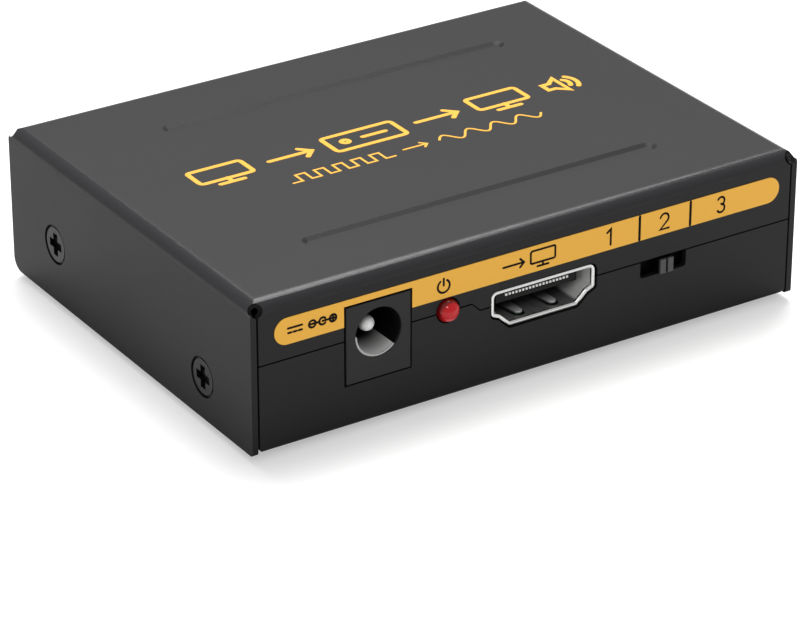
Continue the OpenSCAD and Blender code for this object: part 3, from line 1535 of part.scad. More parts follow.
top_cover();
bottom_tray();
clinch_nuts();
side_screws();
rubber_feet();
front_band();
rear_band();
main_board();
board_standoffs();
board_screws();
dc_jack_housing();
dc_jack_centre_pin();
dc_jack_sleeve_contact();
dc_jack_side_terminal();
power_led_lens();
power_led_leads();
status_led_lens();
status_led_leads();
video_in_shell();
video_in_insulator();
video_in_contacts();
video_out_shell();
video_out_insulator();
video_out_contacts();
switch_frame();
switch_base();
switch_knob();
switch_terminals();
optical_housing();
optical_shutter();
optical_hinge_pin();
optical_spring();
optical_emitter();
optical_terminals();
phono_block();
phono_white_barrel();
phono_white_insulator();
phono_red_barrel();
phono_red_insulator();
phono_centre_contacts();
phono_ground_tabs();
video_chip();
audio_chip();
memory_chip();
regulator_chip();
chip_leads();
capacitor_cans();
capacitor_bases();
power_inductor();
crystal();
ceramic_capacitors();
chip_resistors();
small_part_caps();
surge_arrays();
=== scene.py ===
"""A small folded-steel audio extractor box, dressed for a studio picture.

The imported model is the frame. This script gives each of its nodes a finish, adds
the turned, rolled and printed pieces that are too fine for the frame, and sets the
floor, the lamps and the camera. Shapes are worked out in millimetres.
"""

import json
import math

import bpy
import numpy as np
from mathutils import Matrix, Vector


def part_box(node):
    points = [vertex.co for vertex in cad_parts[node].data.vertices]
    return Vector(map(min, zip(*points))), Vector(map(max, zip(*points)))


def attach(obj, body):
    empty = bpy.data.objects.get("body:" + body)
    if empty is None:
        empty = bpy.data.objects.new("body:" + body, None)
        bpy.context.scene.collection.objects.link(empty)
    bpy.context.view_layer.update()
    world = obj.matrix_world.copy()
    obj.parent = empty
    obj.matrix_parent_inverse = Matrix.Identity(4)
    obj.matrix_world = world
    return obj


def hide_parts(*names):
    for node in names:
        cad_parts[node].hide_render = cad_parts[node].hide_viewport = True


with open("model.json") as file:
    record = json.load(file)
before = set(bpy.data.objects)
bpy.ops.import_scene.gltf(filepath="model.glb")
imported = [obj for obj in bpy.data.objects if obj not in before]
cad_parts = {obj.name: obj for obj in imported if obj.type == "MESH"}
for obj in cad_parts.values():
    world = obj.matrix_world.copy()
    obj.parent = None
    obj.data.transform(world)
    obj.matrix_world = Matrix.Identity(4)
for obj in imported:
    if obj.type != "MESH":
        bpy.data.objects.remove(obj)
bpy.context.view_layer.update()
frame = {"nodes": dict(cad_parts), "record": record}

MM = 0.001
cover_low, cover_high = (np.array(corner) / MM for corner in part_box("top_cover"))
CASE_MIDDLE_Y = (cover_low[1] + cover_high[1]) / 2
CASE_TOP_Z = cover_high[2]
CASE_HALF_W = (cover_high[0] - cover_low[0]) / 2
CASE_HALF_D = (cover_high[1] - cover_low[1]) / 2
FOOT_HEIGHT = cover_low[2]
FRONT_Y = cover_low[1]
REAR_Y = cover_high[1]


# Meshes


def grid_faces(rows, cols, wrap_rows=False, wrap_cols=True):
    """Quads of a grid of rows times cols points, numbered row by row.

    Each quad joins a point to its neighbours in the next row and the next column,
    and the last row or column meets the first where it wraps.
    """
    i = np.arange(rows if wrap_rows else rows - 1)[:, None]
    j = np.arange(cols if wrap_cols else cols - 1)[None, :]
    i2, j2 = (i + 1) % rows, (j + 1) % cols
    corners = (i * cols + j, i2 * cols + j, i2 * cols + j2, i * cols + j2)
    return np.stack(np.broadcast_arrays(*corners), axis=-1).reshape(-1, 4)


def ring_cap(first, cols, centre):
    """Triangles from one point, the centre, to a ring of cols points that starts at first."""
    j = np.arange(cols)
    return np.stack([np.full(cols, centre), first + j, first + (j + 1) % cols], axis=-1)


def enclosed_volume(points, faces):
    """Sum of the signed tetrahedra between the origin and each face's triangle fan."""
    total = 0.0
    for k in range(2, faces.shape[1]):
        a, b, c = points[faces[:, 0]], points[faces[:, k - 1]], points[faces[:, k]]
        total += np.einsum("ij,ij->", a, np.cross(b, c)) / 6
    return total


def closed_shell(points, quads, fans):
    """Points and faces of one closed surface, its faces turned to point outwards.

    The faces are reversed where the signed volume comes out below zero.
    """
    volume = enclosed_volume(points, quads) + sum(enclosed_volume(points, f) for f in fans)
    step = 1 if volume > 0 else -1
    return points, [faces[:, ::step] for faces in (quads, *fans)]


def make_piece(name, shells, material, body="root", sharp=30):
    """One object from closed shells whose points are in millimetres in the row frame."""
    starts = np.cumsum([0] + [len(points) for points, _ in shells])
    points = np.concatenate([p for p, _ in shells]) * MM
    faces = [(f + start).tolist() for start, (_, group) in zip(starts, shells) for f in group]
    mesh = bpy.data.meshes.new(name)
    mesh.from_pydata(points, [], sum(faces, []))
    mesh.shade_smooth()
    mesh.set_sharp_from_angle(angle=math.radians(sharp))
    mesh.materials.append(material)
    piece = bpy.data.objects.new(name, mesh)
    bpy.context.scene.collection.objects.link(piece)
    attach(piece, body)
    return piece


def turned(profile, x, z, face_y, outwards, sides=72):
    """Surface of revolution about a line along Y, through x and z.

    profile is rows of (radius, distance out of the case's face). The point at the
    angle a is x + radius * cos(a), z + radius * sin(a), and its Y is the face's Y
    plus the distance times outwards. Both ends close on the axis.
    """
    profile = np.asarray(profile, float)
    angle = np.linspace(0, 2 * np.pi, sides, endpoint=False)
    radius, out = profile[:, 0, None], profile[:, 1, None]
    ring = np.stack(
        np.broadcast_arrays(x + radius * np.cos(angle), face_y + outwards * out, z + radius * np.sin(angle)),
        axis=-1,
    ).reshape(-1, 3)
    ends = [[x, face_y + outwards * out[k, 0], z] for k in (0, -1)]
    rows = len(profile)
    fans = [ring_cap(0, sides, rows * sides)[:, ::-1], ring_cap((rows - 1) * sides, sides, rows * sides + 1)]
    return closed_shell(np.concatenate([ring, ends]), grid_faces(rows, sides), fans)


def rounded_corners(corners, radii, steps=7):
    """Closed polygon with each corner rounded by a quadratic curve.

    The curve starts and ends where a circle of the corner's radius would touch the
    two sides, and its middle point is the corner itself.
    """
    corners = np.asarray(corners, float)
    to_last = np.roll(corners, 1, axis=0) - corners
    to_next = np.roll(corners, -1, axis=0) - corners
    to_last /= np.linalg.norm(to_last, axis=1, keepdims=True)
    to_next /= np.linalg.norm(to_next, axis=1, keepdims=True)
    half = np.arccos(np.clip((to_last * to_next).sum(1), -1, 1)) / 2
    reach = (np.asarray(radii, float) / np.tan(half))[:, None, None]
    t = np.linspace(0, 1, steps)[None, :, None]
    corner = corners[:, None, :]
    start, end = corner + to_last[:, None, :] * reach, corner + to_next[:, None, :] * reach
    return (start * (1 - t) ** 2 + 2 * corner * t * (1 - t) + end * t**2).reshape(-1, 2)


def outward_normals(loop):
    """Unit normals of a closed loop in a plane, from the chord between each point's neighbours."""
    chord = np.roll(loop, -1, axis=0) - np.roll(loop, 1, axis=0)
    normal = np.stack([chord[:, 1], -chord[:, 0]], axis=1)
    normal /= np.linalg.norm(normal, axis=1, keepdims=True)
    centred = loop - loop.mean(axis=0)
    return normal * np.sign((normal * centred).sum())


def rolled_edge(loop, radius_across, radius_along, middle_y, sides=14):
    """A rolled metal edge: an ellipse carried round a closed loop in X and Z.

    At the angle a the ellipse's point lies radius_across * cos(a) along the loop's
    outward normal and radius_along * sin(a) along Y from the loop.
    """
    normal = outward_normals(loop)
    a = np.linspace(0, 2 * np.pi, sides, endpoint=False)
    across = loop[:, None, :] + normal[:, None, :] * (radius_across * np.cos(a))[None, :, None]
    y = np.broadcast_to(middle_y + radius_along * np.sin(a), across.shape[:2])
    points = np.stack([across[..., 0], y, across[..., 1]], axis=-1).reshape(-1, 3)
    return closed_shell(points, grid_faces(len(loop), sides, wrap_rows=True), [])


# Printed strokes

FILM = 0.03
FILM_STEP = 0.004


def stroke(path, width, closed=False, end_steps=4):
    """Outline strip of a pen stroke: rows of (left point, right point) in the plane.

    Each point of the path moves half the width to both sides along the mitre, the
    mean of its two neighbours' normals made longer by the cosine between them. An
    open stroke ends in half circles, whose half width is the cosine and whose reach
    is the sine of the same angle.
    """
    path = np.asarray(path, float)
    half = np.full(len(path), width / 2)
    if not closed:
        turn = np.linspace(0, np.pi / 2, end_steps + 1)[1:] * 0.98
        ahead, behind = path[-1] - path[-2], path[0] - path[1]
        ahead, behind = ahead / np.linalg.norm(ahead), behind / np.linalg.norm(behind)
        reach, narrow = np.sin(turn)[:, None] * width / 2, np.cos(turn) * width / 2
        path = np.concatenate([(path[0] + behind * reach)[::-1], path, path[-1] + ahead * reach])
        half = np.concatenate([narrow[::-1], half, narrow])
    step = np.roll(path, -1, axis=0) - path
    if not closed:
        step[-1] = step[-2]
    step /= np.linalg.norm(step, axis=1, keepdims=True)
    before = np.roll(step, 1, axis=0)
    if not closed:
        before[0] = step[0]
    n_before = np.stack([-before[:, 1], before[:, 0]], axis=1)
    n_after = np.stack([-step[:, 1], step[:, 0]], axis=1)
    mitre = (n_before + n_after) / np.maximum(1 + (n_before * n_after).sum(1), 0.4)[:, None]
    return path + mitre * half[:, None], path - mitre * half[:, None]


def printed_stroke(path, width, place, closed, film):
    """Closed shell of one stroke of ink, which place puts on a face of the case.

    The section is a low trapezium: the strip's two edges at the face, sunk by half
    the film, and the same edges drawn in by a tenth of the width at the film's top.
    """
    left, right = stroke(path, width, closed)
    inner_left, inner_right = left * 0.9 + right * 0.1, right * 0.9 + left * 0.1
    across = np.stack([left, inner_left, inner_right, right], axis=1)
    height = np.broadcast_to(np.array([-film / 2, film, film, -film / 2]), across.shape[:2])
    points = place(across[..., 0], across[..., 1], height).reshape(-1, 3)
    rows = len(across)
    quads = grid_faces(rows, 4, wrap_rows=closed)
    if closed:
        return closed_shell(points, quads, [])
    ends = np.array([[3, 2, 1, 0], [4 * rows - 4, 4 * rows - 3, 4 * rows - 2, 4 * rows - 1]])
    return closed_shell(points, quads, [ends])


def on_front_band(x, z, height):
    """Seen from the front: x to the right, z up, height out of the gold film's face."""
    return np.stack([x, np.broadcast_to(FRONT_BAND_Y - height, x.shape), z], axis=-1)


def on_rear_band(x, z, height):
    """Seen from the rear: x to the right, so it runs against the case's X."""
    return np.stack([-x, np.broadcast_to(REAR_BAND_Y + height, x.shape), z], axis=-1)


def on_roof(x, y, height):
    """Seen from above: x to the right, y away from the front, height out of the roof."""
    return np.stack([x, y, np.broadcast_to(CASE_TOP_Z + height, x.shape)], axis=-1)


FRONT_BAND_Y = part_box("front_band")[0].y / MM
REAR_BAND_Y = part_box("rear_band")[1].y / MM


def arc(x, y, r, start, end, steps=20):
    """Points of a circle's arc, the angles in degrees."""
    a = np.radians(np.linspace(start, end, steps))
    return np.stack([x + r * np.cos(a), y + r * np.sin(a)], axis=1)


def frame_outline(x, y, w, h, r):
    """Closed rounded rectangle about its middle."""
    corners = [(x - w / 2, y - h / 2), (x + w / 2, y - h / 2), (x + w / 2, y + h / 2), (x - w / 2, y + h / 2)]
    return rounded_corners(corners, [r] * 4, steps=6)


def screen_mark(x, y, w, h):
    """A screen on its stand: frame, neck and foot, as (path, closed) pairs."""
    frame_y, low = y + 0.12 * h, y - h / 2
    return [
        (frame_outline(x, frame_y, w, 0.76 * h, 0.12 * h), True),
        ([(x, frame_y - 0.38 * h), (x, low)], False),
        ([(x - 0.22 * w, low), (x + 0.22 * w, low)], False),
    ]


def arrow_mark(x0, x1, y, head):
    """A straight arrow from x0 to x1."""
    back = x1 - math.copysign(head, x1 - x0)
    return [
        ([(x0, y), (x1, y)], False),
        ([(back, y + head), (x1, y), (back, y - head)], False),
    ]


def speaker_mark(x, y, h):
    """A loudspeaker's cone and two waves in front of it."""
    cone = [
        (x - 0.42 * h, y - 0.17 * h), (x - 0.2 * h, y - 0.17 * h), (x + 0.08 * h, y - 0.42 * h),
        (x + 0.08 * h, y + 0.42 * h), (x - 0.2 * h, y + 0.17 * h), (x - 0.42 * h, y + 0.17 * h),
    ]
    return [
        (cone, True),
        (arc(x + 0.05 * h, y, 0.28 * h, -42, 42, 9), False),
        (arc(x + 0.05 * h, y, 0.5 * h, -42, 42, 11), False),
    ]


def box_mark(x, y, w, h):
    """The extractor itself: a rounded frame with a knob's slot and a lamp in it."""
    return [
        (frame_outline(x, y, w, h, 0.14 * h), True),
        (arc(x - 0.27 * w, y, 0.11 * h, 0, 342, 20), True),
        ([(x - 0.02 * w, y), (x + 0.3 * w, y)], False),
    ]


def direct_current_mark(x, y, w):
    """A solid bar over three short ones."""
    low = y - 0.16 * w
    dashes = [([(x + s * w - 0.1 * w, low), (x + s * w + 0.1 * w, low)], False) for s in (-0.38, 0, 0.38)]
    return [([(x - w / 2, y + 0.16 * w), (x + w / 2, y + 0.16 * w)], False)] + dashes


def centre_positive_mark(x, y, r):
    """The sign of a plug whose pin is positive: two ringed ends, an open ring and a dot."""
    left, right = x - 3.1 * r, x + 3.1 * r
    return [
        (arc(left, y, r, 0, 342, 20), True),
        ([(left - 0.5 * r, y), (left + 0.5 * r, y)], False),
        ([(left + r, y), (x - r, y)], False),
        (arc(x, y, r, 42, 318, 20), False),
        ([(x, y), (right - r, y)], False),
        (arc(right, y, r, 0, 342, 20), True),
        ([(right - 0.5 * r, y), (right + 0.5 * r, y)], False),
        ([(right, y - 0.5 * r), (right, y + 0.5 * r)], False),
    ]


def power_mark(x, y, r):
    """A ring open at the top with an upright bar in the gap."""
    return [(arc(x, y, r, 125, 415, 30), False), ([(x, y + 0.15 * r), (x, y + 1.15 * r)], False)]


def light_mark(x, y, r):
    """A light source: a ring with three rays on one side, for the optical output."""
    middle = np.array([x - 0.5 * r, y])
    rays = []
    for angle in np.radians([-42, 0, 42]):
        way = np.array([math.cos(angle), math.sin(angle)]) * r
        rays.append(([middle + 0.95 * way, middle + 1.75 * way], False))
    return [(arc(*middle, 0.45 * r, 0, 342, 20), True)] + rays


NUMERALS = {
    1: [[(-0.18, 0.32), (0.08, 0.5), (0.08, -0.5)]],
    2: [np.concatenate([arc(0, 0.2, 0.3, 165, -35, 12), [(-0.3, -0.5), (0.32, -0.5)]])],
    3: [np.concatenate([arc(0, 0.25, 0.25, 150, -80, 12), arc(0, -0.23, 0.27, 85, -150, 12)])],
}


def numeral(digit, x, y, h):
    """A plain number in single strokes, h high, drawn from arcs and straight lines."""
    return [(np.asarray(path) * h + (x, y), False) for path in NUMERALS[digit]]


def pulse_train(x0, x1, y, h, count):
    """Square pulses of varied length, as one stroke."""
    edges = np.repeat(np.linspace(x0, x1, count + 1), 2)[1:-1]
    level = np.repeat(np.arange(count) % 2, 2)
    return [(np.stack([edges, y - h / 2 + h * level], axis=1), False)]


def sine_wave(x0, x1, y, h, waves):
    """A sine of the given number of waves between x0 and x1."""
    t = np.linspace(0, 1, 16 * waves + 1)
    return [(np.stack([x0 + (x1 - x0) * t, y + h / 2 * np.sin(2 * np.pi * waves * t)], axis=1), False)]


def print_marks(name, marks, width, place, material):
    """One printed piece from a list of (path, closed) strokes.

    Neighbours in the list differ a little in thickness, so that where two strokes
    cross, their tops don't lie in one plane.
    """
    shells = [
        printed_stroke(path, width, place, closed, film=FILM + FILM_STEP * (k % 4))
        for k, (path, closed) in enumerate(marks)
    ]
    return make_piece(name, shells, material)


# Shader groups


def add_node(tree, kind, inputs=None, **settings):
    """A node with its settings and unlinked input values."""
    node = tree.nodes.new(kind)
    for key, value in settings.items():
        setattr(node, key, value)
    for key, value in (inputs or {}).items():
        node.inputs[key].default_value = value
    return node


def new_group(name, inputs, outputs):
    """An empty shader group with its named sockets, and its two end nodes."""
    group = bpy.data.node_groups.new(name, "ShaderNodeTree")
    for label, kind, value in inputs:
        group.interface.new_socket(label, in_out="INPUT", socket_type=kind).default_value = value
    for label, kind in outputs:
        group.interface.new_socket(label, in_out="OUTPUT", socket_type=kind)
    return group, add_node(group, "NodeGroupInput"), add_node(group, "NodeGroupOutput")


FLOAT, COLOUR = "NodeSocketFloat", "NodeSocketColor"


def tone_drift_group():
    """Colour whose brightness drifts slowly: value = 1 + amount * (cloudy noise - 1/2)."""
    group, start, end = new_group(
        "tone drift",
        [("Colour", COLOUR, (1, 1, 1, 1)), ("Amount", FLOAT, 0.1), ("Scale", FLOAT, 60)],
        [("Colour", COLOUR)],
    )
    place = add_node(group, "ShaderNodeTexCoord")
    cloud = add_node(group, "ShaderNodeTexNoise", {"Detail": 3, "Roughness": 0.6})
    centred = add_node(group, "ShaderNodeMath", {1: 0.5}, operation="SUBTRACT")
    value = add_node(group, "ShaderNodeMath", {2: 1}, operation="MULTIPLY_ADD")
    tint = add_node(group, "ShaderNodeHueSaturation")
    link = group.links.new
    link(place.outputs["Object"], cloud.inputs["Vector"])
    link(start.outputs["Scale"], cloud.inputs["Scale"])
    link(cloud.outputs["Fac"], centred.inputs[0])
    link(centred.outputs[0], value.inputs[0])
    link(start.outputs["Amount"], value.inputs[1])
    link(value.outputs[0], tint.inputs["Value"])
    link(start.outputs["Colour"], tint.inputs["Color"])
    link(tint.outputs["Color"], end.inputs["Colour"])
    return group


def handled_gloss_group():
    """Roughness with soft smudges and fine rubbed lines.

    The smudges are cloudy noise, the lines are noise drawn out forty times along X,
    and both move the roughness up and down by the amount.
    """
    group, start, end = new_group(
        "handled gloss",
        [("Roughness", FLOAT, 0.4), ("Amount", FLOAT, 0.1), ("Scale", FLOAT, 90)],
        [("Roughness", FLOAT)],
    )
    place = add_node(group, "ShaderNodeTexCoord")
    smudge = add_node(group, "ShaderNodeTexNoise", {"Detail": 2})
    draw_out = add_node(group, "ShaderNodeMapping", {"Scale": (1, 40, 40)})
    rub = add_node(group, "ShaderNodeTexNoise", {"Detail": 1})
    total = add_node(group, "ShaderNodeMath", operation="ADD")
    centred = add_node(group, "ShaderNodeMath", {1: 1}, operation="SUBTRACT")
    moved = add_node(group, "ShaderNodeMath", operation="MULTIPLY_ADD", use_clamp=True)
    link = group.links.new
    link(place.outputs["Object"], smudge.inputs["Vector"])
    link(place.outputs["Object"], draw_out.inputs["Vector"])
    link(draw_out.outputs["Vector"], rub.inputs["Vector"])
    link(start.outputs["Scale"], smudge.inputs["Scale"])
    link(start.outputs["Scale"], rub.inputs["Scale"])
    link(smudge.outputs["Fac"], total.inputs[0])
    link(rub.outputs["Fac"], total.inputs[1])
    link(total.outputs[0], centred.inputs[0])
    link(centred.outputs[0], moved.inputs[0])
    link(start.outputs["Amount"], moved.inputs[1])
    link(start.outputs["Roughness"], moved.inputs[2])
    link(moved.outputs[0], end.inputs["Roughness"])
    return group


def fine_grain_group():
    """Height of a fine grain: 0.6 times a noise plus a second noise 2.7 times finer."""
    group, start, end = new_group("fine grain", [("Scale", FLOAT, 4000)], [("Height", FLOAT)])
    place = add_node(group, "ShaderNodeTexCoord")
    coarse = add_node(group, "ShaderNodeTexNoise", {"Detail": 2, "Roughness": 0.55})
    finer = add_node(group, "ShaderNodeMath", {1: 2.7}, operation="MULTIPLY")
    fine = add_node(group, "ShaderNodeTexNoise", {"Detail": 1})
    total = add_node(group, "ShaderNodeMath", {1: 0.6}, operation="MULTIPLY_ADD")
    link = group.links.new
    link(place.outputs["Object"], coarse.inputs["Vector"])
    link(place.outputs["Object"], fine.inputs["Vector"])
    link(start.outputs["Scale"], coarse.inputs["Scale"])
    link(start.outputs["Scale"], finer.inputs[0])
    link(finer.outputs[0], fine.inputs["Scale"])
    link(coarse.outputs["Fac"], total.inputs[0])
    link(fine.outputs["Fac"], total.inputs[2])
    link(total.outputs[0], end.inputs["Height"])
    return group


def drawn_lines_group():
    """Height of fine drawing lines: noise with its own scale along each axis."""
    group, start, end = new_group(
        "drawn lines",
        [("Along X", FLOAT, 60), ("Along Y", FLOAT, 4000), ("Along Z", FLOAT, 4000)],
        [("Height", FLOAT)],
    )
    place = add_node(group, "ShaderNodeTexCoord")
    scale = add_node(group, "ShaderNodeCombineXYZ")
    stretched = add_node(group, "ShaderNodeVectorMath", operation="MULTIPLY")
    lines = add_node(group, "ShaderNodeTexNoise", {"Scale": 1, "Detail": 2})
    link = group.links.new
    for axis in "XYZ":
        link(start.outputs["Along " + axis], scale.inputs[axis])
    link(place.outputs["Object"], stretched.inputs[0])
    link(scale.outputs[0], stretched.inputs[1])
    link(stretched.outputs[0], lines.inputs["Vector"])
    link(lines.outputs["Fac"], end.inputs["Height"])
    return group


TONE_DRIFT = tone_drift_group()
HANDLED_GLOSS = handled_gloss_group()
FINE_GRAIN = fine_grain_group()
DRAWN_LINES = drawn_lines_group()


# Finishes


def use_group(tree, group, values):
    """A group placed in a material with its own values."""
    node = add_node(tree, "ShaderNodeGroup", node_tree=group)
    for key, value in values.items():
        node.inputs[key].default_value = value
    return node


def finish(name, colour, roughness, drift=(0.12, 80), gloss=(0.08, 120), grain=None, lines=None, **shader):
    """A material from the shared groups.

    colour is linear red, green and blue. drift is the amount and scale of its slow
    change, gloss the amount and scale of the smudges, grain the scale and depth in
    millimetres of its grain, and lines the three scales and the depth of its
    drawing lines. shader holds plain values for the shader's own sockets.
    """
    material = bpy.data.materials.new(name)
    material.use_nodes = True
    tree = material.node_tree
    principled = tree.nodes["Principled BSDF"]
    for key, value in shader.items():
        principled.inputs[key.replace("_", " ")].default_value = value
    link = tree.links.new
    tone = use_group(tree, TONE_DRIFT, {"Colour": (*colour, 1), "Amount": drift[0], "Scale": drift[1]})
    link(tone.outputs["Colour"], principled.inputs["Base Color"])
    rub = use_group(tree, HANDLED_GLOSS, {"Roughness": roughness, "Amount": gloss[0], "Scale": gloss[1]})
    link(rub.outputs["Roughness"], principled.inputs["Roughness"])
    if grain or lines:
        if grain:
            texture = use_group(tree, FINE_GRAIN, {"Scale": grain[0]})
            depth = grain[1]
        else:
            scales = {"Along " + axis: scale for axis, scale in zip("XYZ", lines)}
            texture = use_group(tree, DRAWN_LINES, scales)
            depth = lines[3]
        bump = add_node(tree, "ShaderNodeBump", {"Strength": 1, "Distance": depth * MM})
        link(texture.outputs["Height"], bump.inputs["Height"])
        link(bump.outputs["Normal"], principled.inputs["Normal"])
    return material


def nodes_of(material):
    """A finish's tree, its link function, its shader, and the socket that feeds its colour."""
    tree = material.node_tree
    principled = tree.nodes["Principled BSDF"]
    return tree, tree.links.new, principled, principled.inputs["Base Color"].links[0].from_socket


def object_axes(tree):
    """The node that splits an object's own coordinates into X, Y and Z."""
    place = add_node(tree, "ShaderNodeTexCoord")
    axes = add_node(tree, "ShaderNodeSeparateXYZ")
    tree.links.new(place.outputs["Object"], axes.inputs[0])
    return axes


def set_value(material, factor):
    """Multiplies the value of a finish's colour by a factor's output socket."""
    tree, link, principled, tone = nodes_of(material)
    darker = add_node(tree, "ShaderNodeHueSaturation")
    link(factor, darker.inputs["Value"])
    link(tone, darker.inputs["Color"])
    link(darker.outputs["Color"], principled.inputs["Base Color"])


def srgb(red, green, blue):
    """Linear colour of an 8-bit screen colour."""
    value = np.array([red, green, blue]) / 255
    return tuple(np.where(value <= 0.04045, value / 12.92, ((value + 0.055) / 1.055) ** 2.4))


# How far the bends reach in from the outer faces, their roughness, and the paler colour of their painted
# highlight.
BEND_REACH = 1.65
BEND_GLOSS = 0.2
BEND_HIGHLIGHT_COLOUR = srgb(44, 44, 46)


def paint_material():
    """Matt black powder coat: a fine orange-peel grain, and smoother top bends with a painted highlight.

    The bend mask is a mask of the case's own shape. Along each axis the distance past
    BEND_REACH inside the outer face is taken, at least zero, and the mask is the Z
    distance times the sum of the X and Y distances, broken up by noise. It lightens
    the colour as a painted highlight along the bends, and lowers the roughness.
    """
    material = finish(
        "powder_coat", srgb(27, 27, 28), 0.42, drift=(0.16, 45), gloss=(0.05, 70), grain=(3400, 0.009),
        Specular_IOR_Level=0.22,
    )
    tree, link, principled, tone = nodes_of(material)
    place = add_node(tree, "ShaderNodeTexCoord")
    centre = add_node(tree, "ShaderNodeMapping", {"Location": (0, -CASE_MIDDLE_Y * MM, 0)})
    size = add_node(tree, "ShaderNodeVectorMath", operation="ABSOLUTE")
    inside = [(half - BEND_REACH) * MM for half in (CASE_HALF_W, CASE_HALF_D, CASE_TOP_Z)]
    past = add_node(tree, "ShaderNodeVectorMath", {1: inside}, operation="SUBTRACT")
    positive = add_node(tree, "ShaderNodeVectorMath", {1: (0, 0, 0)}, operation="MAXIMUM")
    axes = add_node(tree, "ShaderNodeSeparateXYZ")
    link(place.outputs["Object"], centre.inputs["Vector"])
    link(centre.outputs["Vector"], size.inputs[0])
    link(size.outputs[0], past.inputs[0])
    link(past.outputs[0], positive.inputs[0])
    link(positive.outputs[0], axes.inputs[0])
    sideways = add_node(tree, "ShaderNodeMath", operation="ADD")
    total = add_node(tree, "ShaderNodeMath", operation="MULTIPLY")
    link(axes.outputs["X"], sideways.inputs[0])
    link(axes.outputs["Y"], sideways.inputs[1])
    link(sideways.outputs[0], total.inputs[0])
    link(axes.outputs["Z"], total.inputs[1])
    spread = add_node(tree, "ShaderNodeMath", {1: 2 / (BEND_REACH * MM / 2) ** 2}, operation="MULTIPLY")
    patchy = add_node(tree, "ShaderNodeTexNoise", {"Scale": 420, "Detail": 3})
    mask = add_node(tree, "ShaderNodeMath", operation="MULTIPLY", use_clamp=True)
    link(total.outputs[0], spread.inputs[0])
    link(place.outputs["Object"], patchy.inputs["Vector"])
    link(spread.outputs[0], mask.inputs[0])
    link(patchy.outputs["Fac"], mask.inputs[1])
    # Painted highlight: the mask blends the bends towards a paler colour.
    bend_highlight = add_node(tree, "ShaderNodeMix", {"B": (*BEND_HIGHLIGHT_COLOUR, 1)}, data_type="RGBA")
    link(mask.outputs[0], bend_highlight.inputs["Factor"])
    link(tone, bend_highlight.inputs["A"])
    link(bend_highlight.outputs["Result"], principled.inputs["Base Color"])
    matt = principled.inputs["Roughness"].links[0].from_socket
    smoother = add_node(tree, "ShaderNodeMix", {"B": BEND_GLOSS})
    link(mask.outputs[0], smoother.inputs["Factor"])
    link(matt, smoother.inputs["A"])
    link(smoother.outputs["Result"], principled.inputs["Roughness"])
    return material


def painted_shade_along(material, axis, start, end, share):
    """The same finish, its colour falling along an axis from all at start to a share at end.

    start and end are in millimetres. It is painted shade: the lost light of a recess,
    which the plain colour alone leaves too pale.
    """
    tree, link, _, _ = nodes_of(material)
    axes = object_axes(tree)
    fall = add_node(
        tree, "ShaderNodeMapRange",
        {"From Min": start * MM, "From Max": end * MM, "To Min": 1, "To Max": share},
    )
    link(axes.outputs[axis], fall.inputs["Value"])
    set_value(material, fall.outputs["Result"])
    return material


def board_material():
    """Solder mask over copper tracks: two brick patterns whose joints are the tracks."""
    material = finish(
        "solder_mask", (0.012, 0.09, 0.03), 0.32, drift=(0.15, 150), grain=(5000, 0.004), Coat_Weight=0.3
    )
    tree, link, principled, tone = nodes_of(material)
    place = add_node(tree, "ShaderNodeTexCoord")
    black, white = (0, 0, 0, 1), (1, 1, 1, 1)
    for scale, width in ((420, 0.12), (260, 0.08)):
        tracks = add_node(
            tree, "ShaderNodeTexBrick",
            {"Scale": scale, "Mortar Size": width, "Color1": black, "Color2": black, "Mortar": white},
        )
        over = add_node(tree, "ShaderNodeMix", {"B": (0.03, 0.17, 0.06, 1)}, data_type="RGBA")
        link(place.outputs["Object"], tracks.inputs["Vector"])
        link(tracks.outputs["Color"], over.inputs["Factor"])
        link(tone, over.inputs["A"])
        tone = over.outputs["Result"]
    link(tone, principled.inputs["Base Color"])
    return material


# Soft steps of the painted reflection low inside each dome and of the painted shade at its rim.
LAMP_DROP = 0.1
LAMP_STEPS = {
    "inner": {"From Min": 1.2 * MM, "From Max": 1.0 * MM},
    "lower": {"From Min": -0.4 * MM, "From Max": -0.9 * MM},
    "rim": {"From Min": 1.15 * MM, "From Max": 1.5 * MM, "To Min": 1, "To Max": 0.25},
}


